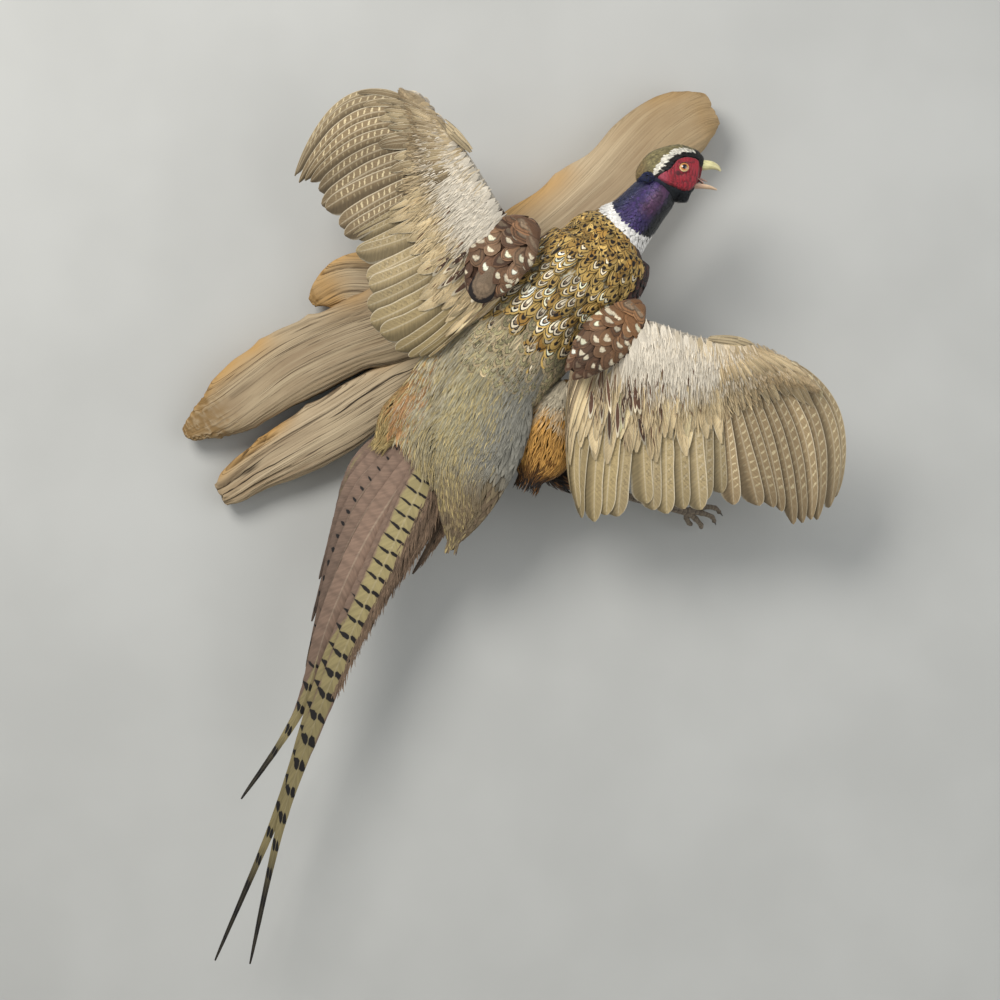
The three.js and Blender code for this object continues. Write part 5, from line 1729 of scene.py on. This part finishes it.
def add_wattle(name, side):
    """Bare skin from the eyelid to its outline: r runs out from the lid, the angle goes round the eye.

    It lies on the cheek, swells over the eyeball, is creased in upright folds and dips under the feathers
    at its edge; at the lid it turns in to the eye."""
    outline = round_line(WATTLE, WATTLE_SPOKES)
    aim = np.arctan2(outline[:, 1] - EYE_AT[1], outline[:, 0] - EYE_AT[0])
    lid = np.stack([EYE_AT[0] + LID * np.cos(aim) * 1.06, EYE_AT[1] + LID * np.sin(aim) * 0.94], -1)
    r = np.linspace(0, 1, WATTLE_RINGS)[:, None]
    x, z = (lid[None, :, k] + (outline[None, :, k] - lid[None, :, k]) * r for k in (0, 1))
    out = head_side(x, z) + 1.1 * step(1 - r, 0, 0.12) - 1.2 * step(r, 0.9, 1)
    from_eye = np.hypot(x - EYE_AT[0], z - EYE_AT[1])
    ball = EYE_OUT + np.sqrt(np.maximum((EYE_RADIUS + 0.75) ** 2 - from_eye ** 2, 0))
    cover = step(from_eye, EYE_RADIUS + 2.2, EYE_RADIUS - 0.4)
    out = np.where(from_eye < EYE_RADIUS + 2.2, np.maximum(out, out + (ball - out) * cover), out)
    fold = np.abs(ripple(x / 1.15 + 0.8 * ripple(x / 5, z / 6), z / 6 + 9))
    fold = 1 - np.clip(fold * 2.2, 0, 1)
    calm = step(from_eye, LID, LID + 2.5)
    out = out - 0.55 * fold * calm + 0.12 * ripple(x / 0.8 + 30, z / 0.9) * calm
    out = out + 0.35 * np.exp(-((from_eye - LID - 0.5) / 0.5) ** 2) - 0.9 * step(r, 0.1, 0) ** 2
    top = np.stack([x, HEAD_MIDDLE + side * out, z], -1)
    under = top.copy()
    under[..., 1] -= side * WATTLE_THICK
    under[0, :, 1] = top[0, :, 1] - side * 0.9
    points = np.concatenate([top.reshape(-1, 3), under.reshape(-1, 3)])
    faces = wattle_faces()
    here = points[faces[:(WATTLE_RINGS - 1) * WATTLE_SPOKES]]
    facing = np.cross(here[:, 1] - here[:, 0], here[:, 2] - here[:, 0])[:, 1].sum() * side
    # Black feather marks below the eye, and painted shade in the crease round the lid and at the rim where
    # the skin runs under the feathers.
    dark = np.clip(step(np.hypot(x - 161.5, (z - 47) * 1.3), 4, 1.5) * 0.75
                   + 0.9 * step(from_eye, LID + 0.6, LID + 0.1) + 0.5 * step(r, 0.93, 1), 0, 1)
    # The first channel is light on the ridges, with painted shade in the fold valleys.
    tone = np.stack([1 - 0.9 * fold, dark, 0.7 * step(x, 156, 147)], -1).reshape(-1, 3)
    make_object(f"wattle_{name}", points, faces if facing > 0 else faces[:, ::-1], WATTLE_SKIN, "wattle",
                f"wattle_{name}", colours={"fold": np.concatenate([tone, tone])})


def add_eye(name, side):
    """The whole glass ball, with the cornea bulging a little at its front."""
    t, a = round_grid(48, 64)
    t = 0.02 + 0.96 * t
    r = EYE_RADIUS * (1 + 0.03 * np.exp(-((t * np.pi) / 0.55) ** 2))
    ring = r * np.sin(np.pi * t)
    points = np.stack([EYE_AT[0] + ring * np.cos(a), HEAD_MIDDLE + side * (EYE_OUT + r * np.cos(np.pi * t)),
                       EYE_AT[1] + ring * np.sin(a)], -1)
    make_object(f"eye_{name}", *tube(points), GLASS_EYE, "eye", f"eye_{name}")


UPPER_BILL = Loft([
    [176, -143, 57, 6.3, 5.9, 6.2], [186.5, -143, 57, 5.2, 4.9, 5.6], [194.1, -143, 56.5, 3.9, 4.2, 4.2],
    [199.7, -143, 54.4, 2.4, 2.8, 2.4], [203.3, -143, 51.2, 0.7, 0.7, 0.7],
], up=CROWN)
LOWER_BILL = Loft([
    [175.5, -143, 38.2, 5.4, 2.2, 3.6], [185.6, -143, 37.6, 4.4, 2, 3], [193.1, -143, 36.3, 3, 1.7, 2.3],
    [199.7, -143, 33.7, 0.8, 0.7, 0.7],
], up=CROWN)
TONGUE = Loft([
    [172.2, -143, 46.2, 3, 1, 1], [183.7, -143, 43.8, 2.6, 1, 1], [190.3, -143, 41.5, 0.9, 0.5, 0.5],
], up=CROWN)


def add_bill():
    """Both halves of the bill with sharp cutting edges and a nostril under its scale, the tongue and the
    mouth's lining. Each is a smooth body carved by ridges and grooves that fade towards its tip."""
    t, a = round_grid(70, 64)
    s = np.sin(a)

    def ridge(place, width):
        return np.exp(-((s - place) / width) ** 2)

    scale = np.exp(-((t - 0.2) / 0.09) ** 2 - ((np.abs(s) - 0.45) / 0.3) ** 2) * (s > 0)
    slit = np.exp(-((t - 0.25) / 0.05) ** 2) * ridge(0.18, 0.09) * (np.abs(np.cos(a)) > 0.7)
    upper = 0.45 * ridge(-0.25, 0.18) - 0.9 * step(-s, 0.6, 0.95) + 0.1 * ripple(t * 26, a * 2)
    lower = 0.35 * ridge(0.35, 0.2) - 1.3 * step(s, 0.5, 0.9) + 0.08 * ripple(t * 24 + 7, a * 2)
    for name, solid, body, material, slot, relief in (
            ("bill_upper_horn", "bill_upper", UPPER_BILL, UPPER_HORN, "bill",
             upper * (1 - t) + 0.5 * scale - 0.7 * slit),
            ("bill_lower_horn", "bill_lower", LOWER_BILL, LOWER_HORN, "bill", lower * (1 - t)),
            ("tongue_flesh", "tongue", TONGUE, MOUTH, "mouth", -0.4 * ridge(1, 0.12) * (1 - t))):
        points, normal = body.at(t, a)
        make_object(name, *tube(points + normal * relief[..., None]), material, slot, solid)
    add_mouth()


def add_mouth():
    """The gape: a fold of skin from the palate round the corner of the mouth to the floor of it.

    s runs from the palate's front (-1) by the corner (0) to the floor's front (1), w across the mouth."""
    s, w = grid(np.linspace(-1, 1, 44), np.linspace(-1, 1, 24))
    ahead = np.abs(s) ** 1.3 * 12.5
    x = 174.2 + ahead
    z = 47.2 - np.sign(s) * (0.6 + ahead * 0.52) * np.abs(s) ** 0.5 + 0.3 * ripple(s * 9, w * 3)
    half = np.interp(x, [174, 178, 183, 187], [11.5, 8.6, 5.4, 4.4]) * (1 - 0.06 * np.abs(s))
    front = np.stack([x, HEAD_MIDDLE + half * w, z], -1)
    back = front - np.stack([1.2 * (1 - 0.9 * np.abs(s)), 0 * s, s], -1)
    make_object("mouth_lining", *tube(np.concatenate([front, back[:, ::-1]], axis=1)), MOUTH, "mouth")


# ---- legs

LEG = {
    "right": {
        "shank": [[106, -69, -251.5, 4.4, 4.6, 4.6], [145, -57, -262, 3.4, 3.6, 3.6],
                  [182, -47, -271, 4.4, 4.2, 4.2]],
        "toes": [
            [[180, -47, -270], [196, -39, -272], [207, -31, -276], [210, -23, -280]],
            [[180, -47, -270], [190, -39, -278], [196, -31, -284], [197, -23, -286]],
            [[180, -47, -270], [198, -38, -266], [210, -31, -267], [215, -23, -271]],
            [[180, -45, -271], [181, -38, -277], [184, -31, -282], [186, -25, -283]],
        ],
    },
    "left": {
        "shank": [[-67, -67, -246, 4.4, 4.6, 4.6], [-82, -62, -277, 3.4, 3.6, 3.6],
                  [-98, -59, -303, 4.4, 4.2, 4.2]],
        "toes": [
            [[-97, -59, -302], [-108, -53, -314], [-119, -50, -324], [-127, -46, -328]],
            [[-97, -59, -302], [-112, -52, -306], [-124, -48, -311], [-132, -43, -312]],
            [[-97, -59, -302], [-102, -51, -316], [-110, -46, -326], [-116, -42, -332]],
            [[-97, -57, -301], [-93, -49, -299], [-91, -43, -301], [-92, -39, -305]],
        ],
    },
}
TOE_ROOT, TOE_TIP = 3.1, 1.9
CLAW_LENGTH, CLAW_ROOT, CLAW_TIP, CLAW_DROOP = 10, 1.7, 0.4, 5


def scuted(stations, rows, sides, plates, knuckles=0):
    """A bare limb ringed with overlapping plates: each swells towards its lower edge and drops to the next.

    Gives the points, the faces and how high on its plate every point is."""
    body = Loft(stations)
    t, a = round_grid(rows, sides)
    phase = np.mod(t * plates + 0.12 * np.cos(2 * a), 1)
    high = step(phase, 0, 0.16) * (1 - 0.25 * (1 - phase))
    swell = 0.5 * np.maximum(np.cos(2 * np.pi * knuckles * t), 0) ** 4 if knuckles else 0
    split = np.exp(-(np.sin(a * 2 + 0.4) / 0.14) ** 2) * 0.25
    points, _ = body.at(t, a, 0)
    _, normal = body.at(t, a)
    points = points + normal * ((high - 1) * 0.38 - split + swell)[..., None]
    points, faces = tube(points)
    shade = np.concatenate([np.clip(high - split * 1.5, 0, 1).ravel(), [1, 1]])
    return points, faces, shade


def toe_stations(line):
    radii = np.linspace(TOE_ROOT, TOE_TIP, len(line))
    return [[*place, r, r, r] for place, r in zip(line, radii)]


def add_legs():
    for side, leg in LEG.items():
        limbs = [scuted(leg["shank"], 150, 28, 15)]
        limbs += [scuted(toe_stations(line), 90, 20, 12, 3) for line in leg["toes"]]
        plate = np.repeat(np.concatenate([s for _, _, s in limbs])[:, None], 3, axis=1)
        make_object(f"leg_{side}", *joined([limb[:2] for limb in limbs]), LEG_SCUTES, "leg", f"foot_{side}",
                    colours={"plate": plate})
        for k, line in enumerate(leg["toes"]):
            line = np.array(line, float)
            along = unit(line[-1] - line[-2])
            f = np.linspace(-0.25, 1, 6)
            place = line[-1] + along * (f * CLAW_LENGTH)[:, None]
            place[:, 1] += CLAW_DROOP * np.maximum(f, 0) ** 2
            r = CLAW_ROOT + (CLAW_TIP - CLAW_ROOT) * np.maximum(f, 0)
            claw = Loft(np.column_stack([place, r * 0.9, r * 1.08, r]))
            solid = f"claw_{side}_{k + 1}"
            make_object(f"{solid}_horn", *tube(claw.at(*round_grid(26, 18))[0]), CLAW_HORN, "claw", solid)


# ---- driftwood

# A body, the seed of its ripples, rows and sides of its mesh, and how far it is split open.
WOOD = {
    "plank": (Loft([
        [207, -28, 130, 17, 14, 22], [186, -29, 120, 32, 24, 30], [151, -30, 97, 40, 28, 34],
        [103, -31, 46, 47, 31, 36], [50, -32, -2, 54, 35, 36], [-5, -32, -43, 56, 37, 36],
        [-61, -31, -63, 50, 33, 36], [-117, -29, -84, 43, 28, 34], [-160, -27, -99, 38, 26, 32],
        [-206, -25, -120, 39, 23, 30], [-248, -23, -146, 36, 20, 26], [-285, -21, -170, 28, 16, 22],
        [-313, -20, -187, 14, 9, 13], [-323, -20, -191, 5, 4, 5],
    ], power=2.6), 0.5, (330, 150), 0),
    "prong": (Loft([
        [-35, -30, -104, 28, 22, 24], [-75, -28, -125, 26, 21, 24], [-113, -26, -146, 25, 19, 22],
        [-166, -24, -180, 31, 17, 20], [-216, -22, -209, 28, 15, 18], [-251, -20, -230, 22, 12, 14],
        [-276, -19, -247, 17, 9, 11], [-287, -19, -253, 12, 6, 7],
    ], power=2.5), 2.1, (230, 130), 1),
    "splinter": (Loft([
        [-112, -38, -132, 5, 5, 5], [-150, -38, -158, 4, 4, 4], [-186, -37, -184, 2.6, 2.6, 2.6],
        [-214, -36, -203, 0.8, 0.8, 0.8],
    ]), 6.3, (80, 26), 1),
    "stub": (Loft([
        [-90, -30, -51, 24, 18, 22], [-131, -28, -44, 33, 18, 22], [-160, -26, -43, 28, 15, 20],
        [-182, -24, -52, 16, 10, 14], [-194, -22, -61, 5, 4, 5],
    ], power=2.5), 4, (100, 110), 0.3),
}
WOOD_SQUARE = 3.6
# Lanes of cracks: how far apart, how deep, and above which ripple they open.
CRACKS = ((19, 1, 0.15), (8, 0.6, 0.3))


def cracks(run, grain, torn):
    """Cracks along the grain, in lanes: each opens over stretches of its lane, wider where it is torn."""
    depth = 0
    for gap, strength, low in CRACKS:
        lane = grain / gap + 0.45 * ripple(run / 130 + gap, grain / 50)
        off = np.abs(lane - np.round(lane)) * gap
        opened = step(ripple(run / 60 + 3.7 * np.round(lane), 2.3 * np.round(lane) + gap),
                      low - 0.7 * torn, low + 0.3)
        depth = np.maximum(depth, strength * opened * np.exp(-(off / (0.9 + 0.3 * torn)) ** 2))
    return depth


def add_wood():
    """Lofts with flat sides, straight fibres, cracks along the grain, and broken ends.

    t is the place along, the angle starts at the wall, so that the seam of the round is hidden there. The
    grain's lines keep their distance in millimetres, so they run out at the sides where a piece narrows."""
    for name, (body, seed, (rows, sides), split) in WOOD.items():
        t, a = grid(np.linspace(0, 1, rows), -np.pi / 2 + 2 * np.pi * np.arange(sides) / sides)
        centre, along, side, over, sizes = body.axes(t)
        length = np.linalg.norm(np.diff(body.rows[:, :3], axis=0), axis=1).sum()
        run = t * length
        c, s = np.cos(a), np.sin(a)
        bend = 2 / WOOD_SQUARE
        x = signed(c, bend) * sizes[..., 0]
        y = signed(s, bend) * np.where(s > 0, sizes[..., 1], sizes[..., 2])
        grain = x + 16 * signed(s, bend) + 4 * ripple(run / 80 + seed, x / 40) + 20 * seed
        x = x * (1 - 0.1 * np.abs(c) ** 3 * np.abs(ripple(run / 24 + 7 * seed, 4 + 5 * np.sign(c))))
        flutes = 0.8 * ripple(grain / 11, run / 260 + 3) + 1.2 * ripple(grain / 28, run / 90 + 5)
        fibres = 0.4 * ripple(grain / 2.6, run / 80 + 11) + 0.22 * ripple(grain / 1.3, run / 34 + 17)
        crack = cracks(run, grain, split * step(t, 0.35, 0.95))
        crack = crack * (1 - 0.85 * step(centre[..., 0], -60, 40)) * (0.5 + 0.5 * split)
        bark = step(t, 0.8, 0.9) * (1 - split) * np.abs(ripple(run / 6, grain / 5)) ** 0.7
        carve = flutes + fibres + (3.5 + 3 * split) * crack + 2.5 * bark
        shrink = np.clip(1 - carve / np.maximum(sizes.mean(-1), 9), 0.5, 1.06)
        points = centre + side * (x * shrink)[..., None] + over * (y * shrink)[..., None]
        end = np.maximum(step(t, 0.05, 0), step(t, 0.95, 1))
        fray = end * (4 + 9 * split) * ripple(grain / 4, t * 2 + seed)
        points += along * np.where(t > 0.5, np.minimum(fray, 0), np.maximum(fray, 0))[..., None]
        points[..., 1] = np.minimum(points[..., 1], WALL_SIDE)
        upward = over[..., 2] * s + side[..., 2] * c
        orange = np.maximum.reduce([
            step(upward, 0.05, 0.8) * step(ripple(run / 60 + 7, grain / 60), -0.6, 0.2),
            0.8 * step(t, 0.35, 0.7) * (name == "stub"),
            0.6 * step(np.maximum(step(t, 0.12, 0.03), step(t, 0.88, 0.97)), 0, 1) * (1 - split)])
        # Darker on the bark, in the flutes' hollows, towards the left end and near the plank's right end.
        dark = np.clip(bark * 1.2 + 0.15 * step(flutes, 0.3, 1.3) + 0.25 * step(t, 0.5, 1)
                       + 0.5 * step(t, 0.26, 0.13) * (name == "plank"), 0, 0.85)
        # The cracks' channel is painted near black in the material, as shade in them.
        weathering_and_shade = np.stack([np.clip(crack * 1.2, 0, 1), orange, dark], -1).reshape(-1, 3)
        points, faces = tube(points)
        lines = np.stack([np.append(run.ravel(), [0, length]), np.append(grain.ravel(), [0, 0])], -1) / 1000
        make_object(f"driftwood_{name}", points, faces, SPLIT_WOOD if split == 1 else WEATHERED_WOOD, "wood",
                    "driftwood", colours={"weathering_and_shade": np.concatenate([weathering_and_shade, weathering_and_shade[[0, -1]]])},
                    maps={"Grain": lines[np.concatenate([f.ravel() for f in faces])]})


# ---- studio


VIEW_AWAY, VIEW_WIDTH = 2, 1.016


def add_stage():
    """A plain wall that bends into a floor, well below the mount. It is seen only from the front, so that the
    back of the mount can be looked at."""
    across, front, high, gap = 3, 2.6, 2.2, 0.0006
    floor, bend = -1.3, 0.4
    angle = np.linspace(0, np.pi / 2, 16)
    y = np.concatenate([[gap], gap - bend * (1 - np.cos(angle)), [-front]])
    z = np.concatenate([[high], floor + bend - bend * np.sin(angle), [floor]])
    points = [(x, b, c) for b, c in zip(y, z) for x in (-across, across)]
    faces = [(2 * i, 2 * i + 2, 2 * i + 3, 2 * i + 1) for i in range(len(y) - 1)]
    mesh = bpy.data.meshes.new("wall_and_floor")
    mesh.from_pydata(points, [], faces)
    mesh.polygons.foreach_set("use_smooth", [True] * len(faces))
    mesh.materials.append(PLASTER)
    put("wall_and_floor", mesh)


def add_light(name, at, aim, size, energy, colour=(1, 1, 1)):
    lamp = bpy.data.lights.new(name, "AREA")
    lamp.shape, lamp.size, lamp.energy, lamp.color = "DISK", size, energy, colour
    light = put(name, lamp)
    light.location = at
    light.rotation_euler = (Vector(aim) - Vector(at)).to_track_quat("-Z", "Y").to_euler()


def add_studio():
    scene = bpy.context.scene
    scene.view_settings.view_transform = "Standard"
    world = bpy.data.worlds.new("studio")
    world.use_nodes = True
    world.node_tree.nodes["Background"].inputs["Color"].default_value = (0.93, 0.96, 1, 1)
    world.node_tree.nodes["Background"].inputs["Strength"].default_value = 0.45
    scene.world = world
    middle = (0, -0.1, -0.25)
    add_light("key", (-0.9, -1.7, 0.9), middle, 1.1, 34, (1, 0.98, 0.95))
    add_light("fill", (1.4, -1.6, -0.1), middle, 1.8, 12, (0.96, 0.98, 1))
    camera = bpy.data.cameras.new("camera")
    camera.lens = VIEW_AWAY * camera.sensor_width / VIEW_WIDTH
    eye = scene.camera = put("camera", camera)
    eye.location = (-0.005, -VIEW_AWAY, -0.259)
    eye.rotation_euler = (np.pi / 2, 0, 0)


# ---- putting it together

BODY_FEATHER = feather("body_feather", CONTOUR)
SILK_FEATHER = feather("silky_covert", CONTOUR, ink="#4a3a2c", roughness=0.55, sheen=0.2)
GLOSS_FEATHER = feather("glossy_neck_feather", CONTOUR, roughness=0.34, specular=0.6, metallic=0.35)
HEAD_FEATHER = feather("head_feather", CONTOUR, bump=0.3, roughness=0.55, specular=0.3)
PLUME = feather("hairlike_plume", CONTOUR, bump=0.2, roughness=0.7, sheen=0.2)
FLIGHT_FEATHER = feather("flight_feather", FLIGHT, roughness=0.55, specular=0.3)
TAIL_FEATHER = feather("tail_feather", TAIL, roughness=0.55, specular=0.3)
SKIN_AND_DOWN = finish("skin_and_down", skin_look, (0.8, 0.0012), roughness=0.85, specular=0.15, sheen=0.2)
WEATHERED_WOOD, SPLIT_WOOD = (
    finish(name, lambda g: wood_look(g, cracked), (0.7, 0.0008), roughness=0.8, specular=0.2)
    for name, cracked in (("weathered_wood", 0.25), ("split_wood", 1)))
GLASS_EYE = finish("glass_eye", eye_look, roughness=0.05, specular=0.5, coat=1, coat_roughness=0.02)
WATTLE_SKIN = finish("wattle_skin", wattle_look, (0.8, 0.0005), roughness=0.5, specular=0.4, sheen=0.15)
UPPER_HORN, LOWER_HORN = (
    finish(name, bill_look(*tones), (0.35, 0.0003), roughness=0.35, specular=0.45, coat=0.15)
    for name, tones in (("upper_horn", ("#b9bb86", "#dcd49c", "#cfc593")),
                        ("lower_horn", ("#c9a48c", "#dcbb98", "#cdae8d"))))
MOUTH = finish("mouth_skin", mottled(("#b39a8a", "#bd8f84", "#94766e"), 160), (0.5, 0.0004),
               roughness=0.4, specular=0.4, coat=0.2)
LEG_SCUTES = finish("leg_scutes", leg_look, (0.4, 0.0004), roughness=0.55, specular=0.35)
CLAW_HORN = finish("claw_horn", mottled(("#2e2822", "#453a2f", "#1f1a16"), 300, (1, 1, 0.3)),
                   (0.3, 0.0003), roughness=0.4, specular=0.4, coat=0.15)
STEEL = finish("zinc_plate", mottled(("#8f9296", "#7d8084", "#a5a8ab"), 90), (0.15, 0.0002),
               roughness=0.42, specular=0.3, metallic=1)
PLASTER = finish("pale_plaster", plaster_look, roughness=0.9, specular=0.1,
                 alpha=lambda g: 1 - g.node("NewGeometry", output="Backfacing"))

add_studio()
add_stage()
build_skin()
add_trunk_coat()
add_rump_coat()
add_flank_coats()
add_thigh_coats()
add_neck_coat()
add_head_coat()
add_covert_coats()
add_scapulars()
add_alulae()
add_flight_feathers()
add_tail()
for side_name, side_sign in (("right", -1), ("left", 1)):
    add_wattle(side_name, side_sign)
    add_eye(side_name, side_sign)
add_bill()
add_legs()
add_wood()
for slot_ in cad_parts["hanger"].material_slots:
    slot_.material = STEEL
